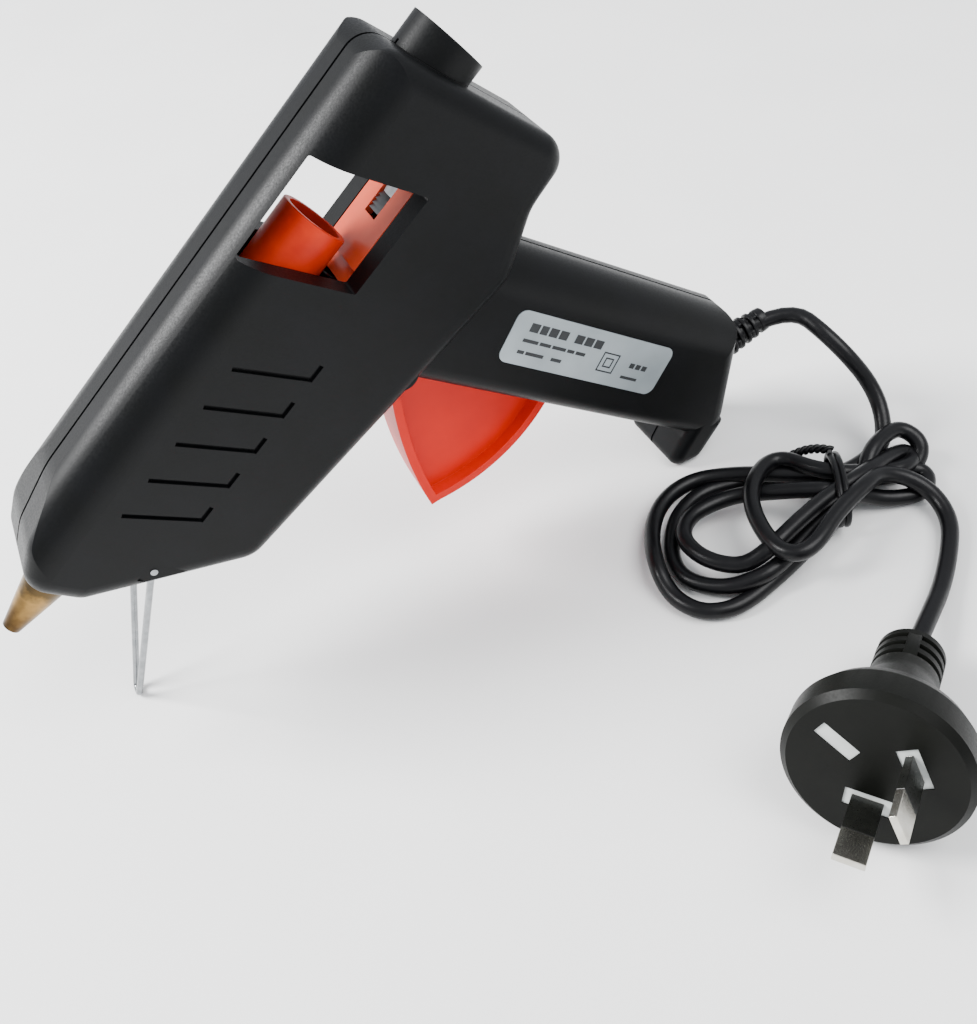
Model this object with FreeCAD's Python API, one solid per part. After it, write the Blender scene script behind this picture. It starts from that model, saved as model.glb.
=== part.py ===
import FreeCAD, Part
import math
import os

# Trigger-fed hot-melt glue gun for 11.2 mm sticks, with its bench stand, cord and plug.
#
# The gun is drawn in a barrel frame, in millimetres: X runs back along the barrel from the nozzle
# tip, Z is up, towards the spine, and Y is across, with the left shell at -Y. The stick's axis is
# Y = Z = 0. At the end everything is turned nose down, to stand on the wire stand and the toe of
# the handle, with +Z up and the origin in the middle of the footprint.

V = FreeCAD.Vector
ACROSS = V(0, 1, 0)

# ---------------------------------------------------------------- driving dimensions
WALL = 2.2                   # moulded wall of both shells
BARREL_HALF = 14.3           # half thickness of the barrel housing
HANDLE_HALF = 12.3           # half thickness of the handle
BARREL_ROUND = 5.0           # rounding of the barrel's outer edges
HANDLE_ROUND = 5.0           # rounding of the handle's outer edges
TOE_ROUND = 3.0              # rounding of the toe's outer edges
SPINE_ROUND = 9.5            # rounding between the spine and the sides
HANDLE_BACK_ROUND = 10.5     # rounding between the handle's back and its sides
PARTING = 0.4               # depth, and half width, of the groove along the parting line
FIT = 0.3                    # gap between curved faces on different bodies
SLIP = 0.05                  # radial gap of a pin or tube in its hole

SPINE_Z = 16.3               # height of the spine above the stick axis
NOSE_X = 18.5                # front face of the nose
REAR_X = 154.5               # rear end of the spine
REAR_SLOPE = 0.19            # how far the rear face leans back per unit down
HEEL_Z = -32.0               # lower rear edge of the barrel
BELLY_Z = -33.7              # front end of the belly
BELLY_X = 46.5
HANDLE_SLOPE = 0.2923        # how far the handle leans back per unit down
HANDLE_FRONT_X = 99.7        # handle front where it meets HANDLE_TOP_Z
HANDLE_DEPTH = 36.9          # handle, front to back, measured along the barrel
HANDLE_TOP_Z = -28.0
HANDLE_END_Z = -111.2        # lower end of the handle's back
TOE_X = 116.6                # tip of the toe
TOE_Z = -128.9
FOOT_ANGLE = 34.8            # slope of the toe's flat underside, which stands on the bench
FOOT_LENGTH = 11.0

STICK_R = 5.6                # glue stick
TUBE_R = 8.5                 # stick inlet tube, outside
TUBE_BORE_R = 6.1
TUBE_FRONT_X = 146.0
TUBE_END_X = 163.5

WINDOW_LOW_Z = -9.6          # stick window, a leaning four-sided hole through both shells
WINDOW_TOP_Z = 14.6
WINDOW_FRONT_X = 113.2       # its lower front corner
WINDOW_LENGTH = 24.6
WINDOW_SLOPE = 0.307
FRAME_DEPTH = 5.6            # inward frame round the window
FRAME_WALL = 1.6

LOUVRES = 5                  # blind louvre grooves on each side
LOUVRE_PITCH = 10.2
LOUVRE_FIRST_X = 45.9
LOUVRE_TOP_Z = 2.8
LOUVRE_DROP = 16.6
LOUVRE_LEAN = 5.9
LOUVRE_HOOK = 3.8
LOUVRE_WIDTH = 1.1
LOUVRE_DEPTH = 0.9

NOZZLE_LENGTH = 16.5         # visible cone
NOZZLE_TIP_R = 2.2
NOZZLE_BASE_R = 5.4
NOZZLE_THREAD_R = 3.95
NOZZLE_THREAD_END_X = 28.5
ORIFICE_R = 0.9
BALL_R = 1.9
BALL_X = 10.4
CHECK_BORE_R = 2.4
NOSE_HOLE_R = 6.3

CHAMBER_FRONT_X = 25.2
CHAMBER_NECK_R = 5.8
CHAMBER_SHOULDER_X = 28.0
CHAMBER_END_X = 76.0
CHAMBER_R = 8.2
CHAMBER_BORE_R = 5.9
SPIGOT_R = 7.2
SPIGOT_END_X = 88.0
THROAT_R = 1.8
HEATER_FRONT_X = 38.0
HEATER_END_X = 64.0
HEATER_HALF = 5.0
HEATER_TOP_Z = -10.4
HEATER_THICK = 3.0

SLEEVE_R = 7.6               # silicone inlet sleeve
SLEEVE_BORE_R = 6.1
SLEEVE_END_X = 119.3
SLEEVE_FRONT_X = 77.0
SLEEVE_SWELL_R = 9.0

PIVOT_X, PIVOT_Z = 103.0, -33.0      # trigger pivot
TRIGGER_R = 47.8                     # radius of the trigger's lower edge about the pivot
TRIGGER_HALF = 6.0
TRIGGER_WEB = 2.4
TRIGGER_RIM = 2.3
HUB_R = 5.0
PIN_R = 1.5
DRIVE_X, DRIVE_Z = 116.0, -20.0      # drive pin on the trigger's arm
ARM_HALF = 4.2
PLATE_FRONT_X = 116.0                # feed carriage
PLATE_END_X = 141.0
PLATE_TOP_Z = -9.65
PLATE_THICK = 2.1
PLATE_HALF = 8.3
JAW_TIP_X = 127.5
JAW_X, JAW_Z = 136.0, -13.2          # jaw pivot on the carriage
JAW_HALF = 2.3
JAW_PIN_R = 0.9
EAR_FRONT_X = 111.6
RAIL_FRONT_X = 113.5                 # rails under the plate, one on each shell
SPRING_SEAT_X = 96.6                 # return spring, between the right shell and the right ear
SPRING_Y, SPRING_Z = 6.9, -15.6
SPRING_R, SPRING_WIRE_R = 2.2, 0.35

STAND_X, STAND_Z = 34.6, -12.8       # stand pivot
STAND_Y = 11.4
STAND_TIP_X = -9.6
WIRE_R = 0.85

SCREWS = [(48.5, -27.0), (84.0, -31.0), (143.0, 11.6), (154.0, -24.5), (146.2, -88.0), (125.2, -129.2)]
SCREW_R = 1.1
SCREW_HEAD_R = 2.6
SCREW_HEAD_H = 2.0
SCREW_SEAT_Y = 5.0
SCREW_TIP_Y = -7.0
BOSS_R = 3.4
SEAT_BOSS_R = 4.1

LABEL_LENGTH, LABEL_WIDTH, LABEL_THICK = 50.4, 13.8, 0.25
LABEL_X, LABEL_Z = 131.0, -74.3

CORD_R = 2.2
RELIEF_X, RELIEF_Z = 149.6, -121.0   # where the strain relief's axis crosses the handle's end wall
RELIEF_ANGLE = -25.0                 # its direction in the barrel frame, degrees above +X
RELIEF_OUT = 18.0                    # length outside the wall
RELIEF_BASE_R = 4.9
RELIEF_TIP_R = 3.3
RELIEF_NECK_R = 4.1
CLAMP_BACK = 15.5                    # cord clamp, back along the cord from the wall
CLAMP_REACH = 6.4                    # its two screws, each side of the cord
CORE_R = 0.9
CRIMP_X, CRIMP_Y, CRIMP_Z = 132.5, 8.3, -105.0
CRIMP_R, CRIMP_LENGTH = 1.5, 8.0

PLUG_RIM_R = 19.0
PLUG_RIM_BACK = 8.0                  # depth of the full-width rim behind the face
PLUG_NECK_R = 7.4
PLUG_LENGTH = 43.0
PLUG_TURN = 217.7                    # compass direction of the pins, degrees from +X
PLUG_ROLL = 148.5                    # direction of the blank earth place round the face
PIN_CIRCLE_R = 7.92
EARTH_CIRCLE_R = 10.31
BLADE_WIDTH, BLADE_THICK, BLADE_LENGTH = 6.35, 1.6, 17.3
BLADE_SLEEVE = 9.5                   # insulating sleeve, from the face
SLEEVE_SKIN = 0.25
BLADE_ROOT = 13.5                    # length inside the body
CARRIER_R, CARRIER_DEPTH, PAD_DEPTH = 14.0, 3.0, 0.3


# ---------------------------------------------------------------- drawing helpers
def at(x, z, y=0.0):
    return V(x, y, z)


def rounded_wire(corners):
    """A closed outline of straight sides in the XZ plane; each corner is (x, z, radius)."""
    edges = []
    starts, ends, middles = [], [], []
    count = len(corners)
    for i, (x, z, radius) in enumerate(corners):
        here = at(x, z)
        back = at(*corners[i - 1][:2]) - here
        ahead = at(*corners[(i + 1) % count][:2]) - here
        back.normalize()
        ahead.normalize()
        half = math.acos(max(-1.0, min(1.0, back.dot(ahead)))) / 2
        reach = radius / math.tan(half)
        starts.append(here + back * reach)
        ends.append(here + ahead * reach)
        bisector = back + ahead
        bisector.normalize()
        middles.append(here + bisector * (radius / math.sin(half) - radius))
    for i, (_, _, radius) in enumerate(corners):
        if radius > 0:
            edges.append(Part.Arc(starts[i], middles[i], ends[i]).toShape())
        edges.append(Part.LineSegment(ends[i], starts[(i + 1) % count]).toShape())
    return Part.Wire(edges)


def slab(wire, y_low, y_high):
    face = Part.Face(wire)
    face.translate(V(0, y_low, 0))
    return face.extrude(V(0, y_high - y_low, 0))


def block(x0, x1, y0, y1, z0, z1):
    return Part.makeBox(x1 - x0, y1 - y0, z1 - z0, V(x0, y0, z0))


def rod(radius, start, end):
    along = end - start
    return Part.makeCylinder(radius, along.Length, start, along)


def cross_rod(radius, x, z, y0, y1):
    return rod(radius, at(x, z, y0), at(x, z, y1))


def turned(profile):
    """A solid of revolution about the stick axis from (x, radius) points."""
    points = [at(x, r) for x, r in profile]
    return Part.Face(Part.makePolygon(points + points[:1])).revolve(V(0, 0, 0), V(1, 0, 0), 360)


def ball(radius, centre):
    return Part.makeSphere(radius, centre)


def mirrored(shape):
    return shape.mirror(V(0, 0, 0), ACROSS)


def joined(shapes):
    whole = shapes[0].multiFuse(shapes[1:]) if len(shapes) > 1 else shapes[0]
    return whole.removeSplitter()


def rounded_side(wire, half, radius):
    """Half a casing: the outline made solid from the parting plane to -half, outer edge rounded."""
    solid = slab(wire, -half, 0)
    rim = [e for e in solid.Edges if e.BoundBox.YMax < -half + 0.01]
    return solid.makeFillet(radius, rim)


def bent_path(points, radii):
    """Straight runs through the points, joined by tangent arcs of the given radii."""
    edges = []
    last = points[0]
    for i, radius in enumerate(radii, start=1):
        here = points[i]
        back = points[i - 1] - here
        ahead = points[i + 1] - here
        back.normalize()
        ahead.normalize()
        half = math.acos(max(-1.0, min(1.0, back.dot(ahead)))) / 2
        reach = radius / math.tan(half)
        bisector = back + ahead
        bisector.normalize()
        start, end = here + back * reach, here + ahead * reach
        middle = here + bisector * (radius / math.sin(half) - radius)
        edges.append(Part.LineSegment(last, start).toShape())
        edges.append(Part.Arc(start, middle, end).toShape())
        last = end
    edges.append(Part.LineSegment(last, points[-1]).toShape())
    return Part.Wire(edges)


def wire_along(path, radius):
    first = path.Edges[0]
    start = first.valueAt(first.FirstParameter)
    heading = first.tangentAt(first.FirstParameter)
    ring = Part.Wire(Part.makeCircle(radius, start, heading))
    return path.makePipeShell([ring], True, False)


def loose_radii(points):
    """The largest arc each pair of runs allows: 0.45 of the shorter run over tan(half the turn)."""
    radii = []
    for before, here, after in zip(points, points[1:], points[2:]):
        first, second = here - before, after - here
        turn = first.getAngle(second)
        radii.append(0.45 * min(first.Length, second.Length) / math.tan(turn / 2))
    return radii


# ---------------------------------------------------------------- outlines
def barrel_wire():
    rear_foot = REAR_X + REAR_SLOPE * (SPINE_Z - HEEL_Z)
    return rounded_wire([
        (NOSE_X + 2.1, -3.2, 5.0), (NOSE_X, 9.5, 6.0), (28.5, 13.9, 14.0), (43.5, SPINE_Z, 30.0),
        (REAR_X, SPINE_Z, 6.0), (rear_foot, HEEL_Z, 6.0), (149.0, -33.4, 12.0), (134.0, -40.6, 12.0),
        (BELLY_X, BELLY_Z, 8.0)])


def handle_front(z):
    return HANDLE_FRONT_X + HANDLE_SLOPE * (HANDLE_TOP_Z - z)


def handle_wire():
    back_foot = handle_front(HANDLE_END_Z) + HANDLE_DEPTH
    return rounded_wire([
        (HANDLE_FRONT_X, HANDLE_TOP_Z, 0.0), (HANDLE_FRONT_X + HANDLE_DEPTH, HANDLE_TOP_Z, 0.0),
        (back_foot, HANDLE_END_Z, 6.5), (139.0, -131.6, 8.0), (handle_front(-134.2) + 0.5, -134.2, 5.2)])


def foot_point(distance):
    """A point on the bench line, measured from the toe's tip towards the handle's end."""
    angle = math.radians(FOOT_ANGLE)
    return TOE_X + distance * math.cos(angle), TOE_Z - distance * math.sin(angle)


def toe_wire():
    heel_x, heel_z = foot_point(FOOT_LENGTH)
    return rounded_wire([
        (TOE_X, TOE_Z, 2.6), (heel_x, heel_z, 4.0), (138.0, -132.0, 0.0), (136.0, -122.5, 0.0),
        (127.0, -124.9, 0.0)])


def stand_tip():
    """Centre of the wire where the stand's legs meet: it rests on the same bench line as the toe."""
    angle = math.radians(FOOT_ANGLE)
    floor_z = TOE_Z - (STAND_TIP_X - TOE_X) * math.tan(angle)
    return at(STAND_TIP_X, floor_z + WIRE_R / math.cos(angle))


def window_corner_x(z):
    return WINDOW_FRONT_X - WINDOW_SLOPE * (z - WINDOW_LOW_Z)


def window_wire():
    return rounded_wire([
        (WINDOW_FRONT_X, WINDOW_LOW_Z, 0.6), (window_corner_x(WINDOW_TOP_Z), WINDOW_TOP_Z, 0.6),
        (window_corner_x(WINDOW_TOP_Z) + WINDOW_LENGTH, WINDOW_TOP_Z, 0.6),
        (WINDOW_FRONT_X + WINDOW_LENGTH, WINDOW_LOW_Z, 0.6)])


def pivot_polar(radius, degrees):
    angle = math.radians(degrees)
    return PIVOT_X + radius * math.cos(angle), PIVOT_Z + radius * math.sin(angle)


def trigger_wire():
    nose = at(*pivot_polar(TRIGGER_R, -122.0))
    tail = at(*pivot_polar(TRIGGER_R, -72.0))
    low = at(*pivot_polar(TRIGGER_R, -97.0))
    tip = at(75.2, -72.4)
    finger = at(82.2, -58.2)
    shoulder = at(94.0, -41.5)
    top, back = at(99.3, -30.5), at(107.2, -31.5)
    curve = Part.Arc(tip, finger, shoulder).toShape()
    sides = [Part.LineSegment(a, b).toShape() for a, b in
             ((shoulder, top), (top, back), (back, tail))]
    lower = Part.Arc(tail, low, nose).toShape()
    blunt = Part.LineSegment(nose, tip).toShape()
    return Part.Wire([curve] + sides + [lower, blunt])


def trigger_sweep(gap):
    """The room the trigger needs over its stroke: its own outline, and a sector behind it."""
    resting = slab(trigger_wire().makeOffset2D(gap), -TRIGGER_HALF - gap, TRIGGER_HALF + gap)
    radius = TRIGGER_R + 2 * gap
    sector = Part.Face(Part.Wire([
        Part.LineSegment(at(PIVOT_X, PIVOT_Z), at(*pivot_polar(radius, -120.0))).toShape(),
        Part.Arc(at(*pivot_polar(radius, -120.0)), at(*pivot_polar(radius, -85.0)),
                 at(*pivot_polar(radius, -44.0))).toShape(),
        Part.LineSegment(at(*pivot_polar(radius, -44.0)), at(PIVOT_X, PIVOT_Z)).toShape()]))
    sector.translate(V(0, -TRIGGER_HALF - gap, 0))
    return resting.fuse(sector.extrude(V(0, 2 * (TRIGGER_HALF + gap), 0)))


# ---------------------------------------------------------------- casing
def spine_limit(inset):
    """A long bar along the barrel whose upper edge is well rounded, so that the spine is too."""
    half, top, radius = BARREL_HALF - inset, SPINE_Z - inset, SPINE_ROUND - inset
    side = V(-10, -half, top - radius)
    middle = V(-10, -half + radius * (1 - math.sqrt(0.5)), top - radius * (1 - math.sqrt(0.5)))
    crown = V(-10, -half + radius, top)
    edges = [Part.LineSegment(V(-10, -half, -150), side).toShape(), Part.Arc(side, middle, crown).toShape(),
             Part.LineSegment(crown, V(-10, 2, top)).toShape(),
             Part.LineSegment(V(-10, 2, top), V(-10, 2, -150)).toShape(),
             Part.LineSegment(V(-10, 2, -150), V(-10, -half, -150)).toShape()]
    return Part.Face(Part.Wire(edges)).extrude(V(220, 0, 0))


def handle_limit(inset):
    """A long bar in line with the handle whose rear edge is well rounded."""
    lean = math.atan(HANDLE_SLOPE)
    back = (HANDLE_FRONT_X + HANDLE_DEPTH) * math.cos(lean) + HANDLE_TOP_Z * math.sin(lean) - inset
    half, radius = HANDLE_HALF - inset, HANDLE_BACK_ROUND - inset
    low = -300
    start = V(back - radius, -half, low)
    middle = V(back - radius * (1 - math.sqrt(0.5)), -half + radius * (1 - math.sqrt(0.5)), low)
    end = V(back, -half + radius, low)
    corners = [V(back, 2, low), V(back - 90, 2, low), V(back - 90, -half, low)]
    edges = [Part.Arc(start, middle, end).toShape(), Part.LineSegment(end, corners[0]).toShape(),
             Part.LineSegment(corners[0], corners[1]).toShape(),
             Part.LineSegment(corners[1], corners[2]).toShape(),
             Part.LineSegment(corners[2], start).toShape()]
    bar = Part.Face(Part.Wire(edges)).extrude(V(0, 0, 400))
    bar.rotate(V(0, 0, 0), ACROSS, -math.degrees(lean))
    return bar


def casing_outside():
    barrel = rounded_side(barrel_wire(), BARREL_HALF, BARREL_ROUND).common(spine_limit(0))
    handle = rounded_side(handle_wire(), HANDLE_HALF, HANDLE_ROUND).common(handle_limit(0))
    toe = rounded_side(toe_wire(), HANDLE_HALF, TOE_ROUND)
    return barrel.fuse([handle, toe])


def casing_cavity():
    barrel = slab(barrel_wire().makeOffset2D(-WALL), -BARREL_HALF + WALL, 1.0).common(spine_limit(WALL))
    handle = slab(handle_wire().makeOffset2D(-WALL), -HANDLE_HALF + WALL, 1.0).common(handle_limit(WALL))
    throat = slab(rounded_wire([
        (HANDLE_FRONT_X + WALL + 1.0, HANDLE_TOP_Z + 6.0, 0.0),
        (HANDLE_FRONT_X + HANDLE_DEPTH - WALL - 1.0, HANDLE_TOP_Z + 6.0, 0.0),
        (handle_front(-45.0) + HANDLE_DEPTH - WALL - 1.0, -45.0, 0.0),
        (handle_front(-45.0) + WALL + 1.0, -45.0, 0.0)]), -HANDLE_HALF + WALL, 1.0).common(handle_limit(WALL))
    return barrel.fuse([handle, throat])


def parting_groove():
    """A fine step along the outer edge of the parting plane, half of the groove between the shells."""
    outlines = [barrel_wire, handle_wire, toe_wire]
    outer = [slab(wire().makeOffset2D(1.0), -PARTING, 1.0) for wire in outlines]
    inner = [slab(wire().makeOffset2D(-PARTING), -2.0, 2.0) for wire in outlines]
    return outer[0].fuse(outer[1:]).cut(inner)


def window_frame(outside):
    ring = slab(window_wire().makeOffset2D(FRAME_WALL), -BARREL_HALF, -BARREL_HALF + FRAME_DEPTH)
    return ring.common(outside)


def half_ribs(outside):
    """Cross ribs that carry the melt chamber and the sleeve, and the rail under the carriage."""
    inside_y = -BARREL_HALF + WALL / 2
    front = block(28.8, 31.2, inside_y, 0, -12.0, SPINE_Z - 1)
    rear = block(70.8, 73.2, inside_y, 0, -6.0, SPINE_Z - 1)
    sleeve = block(100.0, 102.0, inside_y, 0, -7.0, SPINE_Z - 1)
    front = front.cut(rod(CHAMBER_R + SLIP, at(20, 0), at(40, 0)))
    rear = rear.cut(rod(CHAMBER_R + SLIP, at(60, 0), at(80, 0)))
    sleeve = sleeve.cut(rod(SLEEVE_R + SLIP, at(95, 0), at(110, 0)))
    rail = block(RAIL_FRONT_X, 143.0, inside_y, -PLATE_HALF + 0.8,
                 PLATE_TOP_Z - PLATE_THICK - FIT - 1.4, PLATE_TOP_Z - PLATE_THICK - FIT)
    return [rib.common(outside) for rib in (front, rear, sleeve, rail)]


def inlet_tube():
    tube = rod(TUBE_R, at(TUBE_FRONT_X, 0), at(TUBE_END_X, 0))
    return tube.common(block(TUBE_FRONT_X, TUBE_END_X, -TUBE_R, 0, -TUBE_R, TUBE_R))


def louvre_grooves():
    """Slanted grooves on the barrel's side, each with a short hook towards the rear."""
    half = LOUVRE_WIDTH / 2
    grooves = []
    for i in range(LOUVRES):
        x = LOUVRE_FIRST_X + i * LOUVRE_PITCH
        low_x, low_z = x + LOUVRE_LEAN, LOUVRE_TOP_Z - LOUVRE_DROP
        lean = math.atan2(LOUVRE_LEAN, LOUVRE_DROP)
        run = math.hypot(LOUVRE_LEAN, LOUVRE_DROP)
        leg = block(-half, half, -LOUVRE_DEPTH, 0, -run, 0)
        leg.rotate(V(0, 0, 0), ACROSS, -math.degrees(lean))
        leg.translate(at(x, LOUVRE_TOP_Z, -BARREL_HALF + LOUVRE_DEPTH))
        hook = block(low_x - half, low_x + LOUVRE_HOOK, -BARREL_HALF, -BARREL_HALF + LOUVRE_DEPTH,
                     low_z - half, low_z + half)
        grooves += [leg, hook]
    return grooves


def handle_frame_shape(shape, x, z):
    """Lay a shape drawn along +X in line with the handle, with its middle at (x, z)."""
    shape.rotate(V(0, 0, 0), ACROSS, 90.0 - math.degrees(math.atan(HANDLE_SLOPE)))
    shape.translate(at(x, z))
    return shape


def label_shape(gap):
    half_l, half_w = LABEL_LENGTH / 2 + gap, LABEL_WIDTH / 2 + gap
    wire = rounded_wire([(-half_l, -half_w, 2.5), (half_l, -half_w, 2.5), (half_l, half_w, 2.5),
                         (-half_l, half_w, 2.5)])
    return handle_frame_shape(slab(wire, -HANDLE_HALF, -HANDLE_HALF + LABEL_THICK), LABEL_X, LABEL_Z)


def relief_direction():
    angle = math.radians(RELIEF_ANGLE)
    return V(math.cos(angle), 0, math.sin(angle))


def along_relief(distance):
    return at(RELIEF_X, RELIEF_Z) + relief_direction() * distance


def stand_slot():
    """Where the stand's leg swings through the slanted underside."""
    start, end = math.radians(190), math.radians(300)
    reach, middle = 16.0, math.radians(245)
    pivot = at(STAND_X, STAND_Z)
    tips = [pivot + at(reach * math.cos(a), reach * math.sin(a)) for a in (start, middle, end)]
    sector = Part.Face(Part.Wire([Part.LineSegment(pivot, tips[0]).toShape(),
                                  Part.Arc(*tips).toShape(),
                                  Part.LineSegment(tips[2], pivot).toShape()]))
    sector.translate(V(0, -STAND_Y - 1.3, 0))
    return [sector.extrude(V(0, 5.2, 0)), cross_rod(1.6, STAND_X, STAND_Z, -STAND_Y - 1.3, -STAND_Y + 3.9)]


def clamp_centre():
    return along_relief(-CLAMP_BACK)


def clamp_spots():
    side = V(-relief_direction().z, 0, relief_direction().x)
    return [clamp_centre() + side * CLAMP_REACH, clamp_centre() - side * CLAMP_REACH]


def casing_half(right):
    outside = casing_outside()
    shell = outside.cut(casing_cavity())
    window = slab(window_wire(), -BARREL_HALF - 1, 1)
    add = [window_frame(outside), inlet_tube(), cross_rod(4.0, PIVOT_X, PIVOT_Z, -BARREL_HALF + 1, -6.5)]
    add += half_ribs(outside)
    boss_r = SEAT_BOSS_R if right else BOSS_R
    add += [cross_rod(boss_r, x, z, -BARREL_HALF, 0).common(outside) for x, z in SCREWS]
    add.append(block(STAND_X - 4, STAND_X + 4, -BARREL_HALF, -STAND_Y - 1.3, STAND_Z - 4, STAND_Z + 4)
               .common(outside))
    if not right:
        add += [cross_rod(2.8, p.x, p.z, -HANDLE_HALF + 1, 0) for p in clamp_spots()]
    shell = shell.fuse(add)
    cuts = [window, rod(TUBE_BORE_R, at(TUBE_FRONT_X - 1, 0), at(TUBE_END_X + 1, 0)),
            rod(NOSE_HOLE_R, at(NOSE_X - 5, 0), at(CHAMBER_SHOULDER_X - 1, 0)),
            cross_rod(PIN_R + 0.02, PIVOT_X, PIVOT_Z, -10.0, 1),
            cross_rod(WIRE_R + SLIP, STAND_X, STAND_Z, -BARREL_HALF - 1, -STAND_Y),
            block(STAND_X - 3.2, STAND_X + 3.2, -BARREL_HALF - 1, -BARREL_HALF + 0.8, STAND_Z - 12,
                  STAND_Z + 2.6),
            rod(RELIEF_NECK_R + SLIP, along_relief(-8), along_relief(10)),
            trigger_sweep(0.5)]
    cuts += louvre_grooves() + stand_slot() + [parting_groove()]
    if right:
        cuts += [cross_rod(SCREW_HEAD_R + FIT, x, z, -BARREL_HALF - 1, -SCREW_SEAT_Y) for x, z in SCREWS]
        cuts += [cross_rod(SCREW_R + FIT, x, z, -BARREL_HALF, 1) for x, z in SCREWS]
    else:
        cuts += [cross_rod(SCREW_R + SLIP, x, z, SCREW_TIP_Y - 0.5, 1) for x, z in SCREWS]
        cuts += [cross_rod(SCREW_R + SLIP, p.x, p.z, -6.5, 1) for p in clamp_spots()]
        cuts.append(label_shape(0.15))
    cuts.append(block(-50, 250, 0, 50, -200, 100))
    shell = shell.cut(cuts)
    return mirrored(shell) if right else shell


def shell_screws():
    screws = []
    for x, z in SCREWS:
        shank = cross_rod(SCREW_R, x, z, SCREW_TIP_Y, SCREW_SEAT_Y)
        head = cross_rod(SCREW_HEAD_R, x, z, SCREW_SEAT_Y, SCREW_SEAT_Y + SCREW_HEAD_H)
        cross = [block(x - 1.5, x + 1.5, SCREW_SEAT_Y + 1, SCREW_SEAT_Y + 3, z - 0.3, z + 0.3),
                 block(x - 0.3, x + 0.3, SCREW_SEAT_Y + 1, SCREW_SEAT_Y + 3, z - 1.5, z + 1.5)]
        screws.append(shank.fuse(head).cut(cross).removeSplitter())
    return Part.makeCompound(screws)


# ---------------------------------------------------------------- hot end
def nozzle():
    body = turned([(0, 0), (0, NOZZLE_TIP_R), (NOZZLE_LENGTH, NOZZLE_BASE_R),
                   (CHAMBER_FRONT_X - 0.1, NOZZLE_BASE_R), (CHAMBER_FRONT_X - 0.1, NOZZLE_THREAD_R),
                   (NOZZLE_THREAD_END_X, NOZZLE_THREAD_R), (NOZZLE_THREAD_END_X, 0)])
    way = turned([(-1, 0), (-1, ORIFICE_R), (BALL_X - 4, ORIFICE_R), (BALL_X - 1.6, CHECK_BORE_R),
                  (NOZZLE_THREAD_END_X + 1, CHECK_BORE_R), (NOZZLE_THREAD_END_X + 1, 0)])
    return body.cut(way)


def check_spring():
    start = BALL_X + BALL_R + 0.1
    length = NOZZLE_THREAD_END_X + 0.3 - start
    return helix_spring(2.0, 0.25, 1.6, length, V(start, 0, 0), 90.0)


def helix_spring(radius, wire_r, pitch, length, start, turn):
    """An open coil along +Z, turned about Y to lie along the barrel, then moved to its start."""
    path = Part.makeHelix(pitch, length, radius)
    ring = Part.Wire(Part.makeCircle(wire_r, V(radius, 0, 0), V(0, 1, 0)))
    coil = Part.Wire(path.Edges).makePipeShell([ring], True, True)
    coil.rotate(V(0, 0, 0), ACROSS, turn)
    coil.translate(start)
    return coil


def melt_chamber():
    body = turned([(CHAMBER_FRONT_X, 0), (CHAMBER_FRONT_X, CHAMBER_NECK_R),
                   (CHAMBER_SHOULDER_X, CHAMBER_NECK_R), (CHAMBER_SHOULDER_X, CHAMBER_R), (CHAMBER_END_X, CHAMBER_R),
                   (CHAMBER_END_X, SPIGOT_R), (SPIGOT_END_X, SPIGOT_R), (SPIGOT_END_X, 0)])
    body = body.fuse(block(35.2, 68.0, -7.5, 7.5, -16.9, 0))
    fins = [block(x, x + 1.5, -7.5, 7.5, -19.0, -16.5) for x in (37.0, 45.0, 53.0, 61.0)]
    way = turned([(20, 0), (20, NOZZLE_THREAD_R + SLIP), (29, NOZZLE_THREAD_R + SLIP), (29, THROAT_R),
                  (38, THROAT_R), (48, CHAMBER_BORE_R), (SPIGOT_END_X + 1, CHAMBER_BORE_R),
                  (SPIGOT_END_X + 1, 0)])
    slot = block(HEATER_FRONT_X - 1.5, 70.0, -6.2, 6.2, -15.6, -9.6)
    return body.fuse(fins).cut([way, slot]).removeSplitter()


def heater_parts():
    low = HEATER_TOP_Z - HEATER_THICK
    element = block(HEATER_FRONT_X, HEATER_END_X, -HEATER_HALF, HEATER_HALF, low, HEATER_TOP_Z)
    outer = block(HEATER_FRONT_X - 0.4, HEATER_END_X + 0.4, -HEATER_HALF - 0.5, HEATER_HALF + 0.5,
                  low - 0.5, HEATER_TOP_Z + 0.5)
    wrap = outer.cut(block(HEATER_FRONT_X - 1, HEATER_END_X + 1, -HEATER_HALF - 0.05,
                           HEATER_HALF + 0.05, low - 0.05, HEATER_TOP_Z + 0.05))
    leaf = Part.Face(Part.Wire([
        Part.Arc(at(38.5, -14.05), at(51, -15.05), at(63.5, -14.05)).toShape(),
        Part.LineSegment(at(63.5, -14.05), at(63.5, -14.5)).toShape(),
        Part.Arc(at(63.5, -14.5), at(51, -15.5), at(38.5, -14.5)).toShape(),
        Part.LineSegment(at(38.5, -14.5), at(38.5, -14.05)).toShape()]))
    leaf.translate(V(0, -4.5, 0))
    return element, wrap, leaf.extrude(V(0, 9, 0))


def inlet_sleeve():
    return turned([(SLEEVE_FRONT_X, SPIGOT_R + SLIP), (SLEEVE_FRONT_X, SLEEVE_SWELL_R),
                   (89.5, SLEEVE_SWELL_R), (94.0, SLEEVE_R), (SLEEVE_END_X, SLEEVE_R),
                   (SLEEVE_END_X, SLEEVE_BORE_R), (SPIGOT_END_X + 0.5, SLEEVE_BORE_R),
                   (SPIGOT_END_X + 0.5, SPIGOT_R + SLIP)])


def sleeve_clamp():
    band = turned([(79.5, SLEEVE_SWELL_R + SLIP), (79.5, 9.7), (84.5, 9.7), (84.5, SLEEVE_SWELL_R + SLIP)])
    lug = block(79.5, 84.5, -2.0, 2.0, 9.4, 12.0)
    screw = cross_rod(0.9, 82.0, 10.8, -3.4, 3.4)
    return band.fuse([lug, screw]).removeSplitter()


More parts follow.
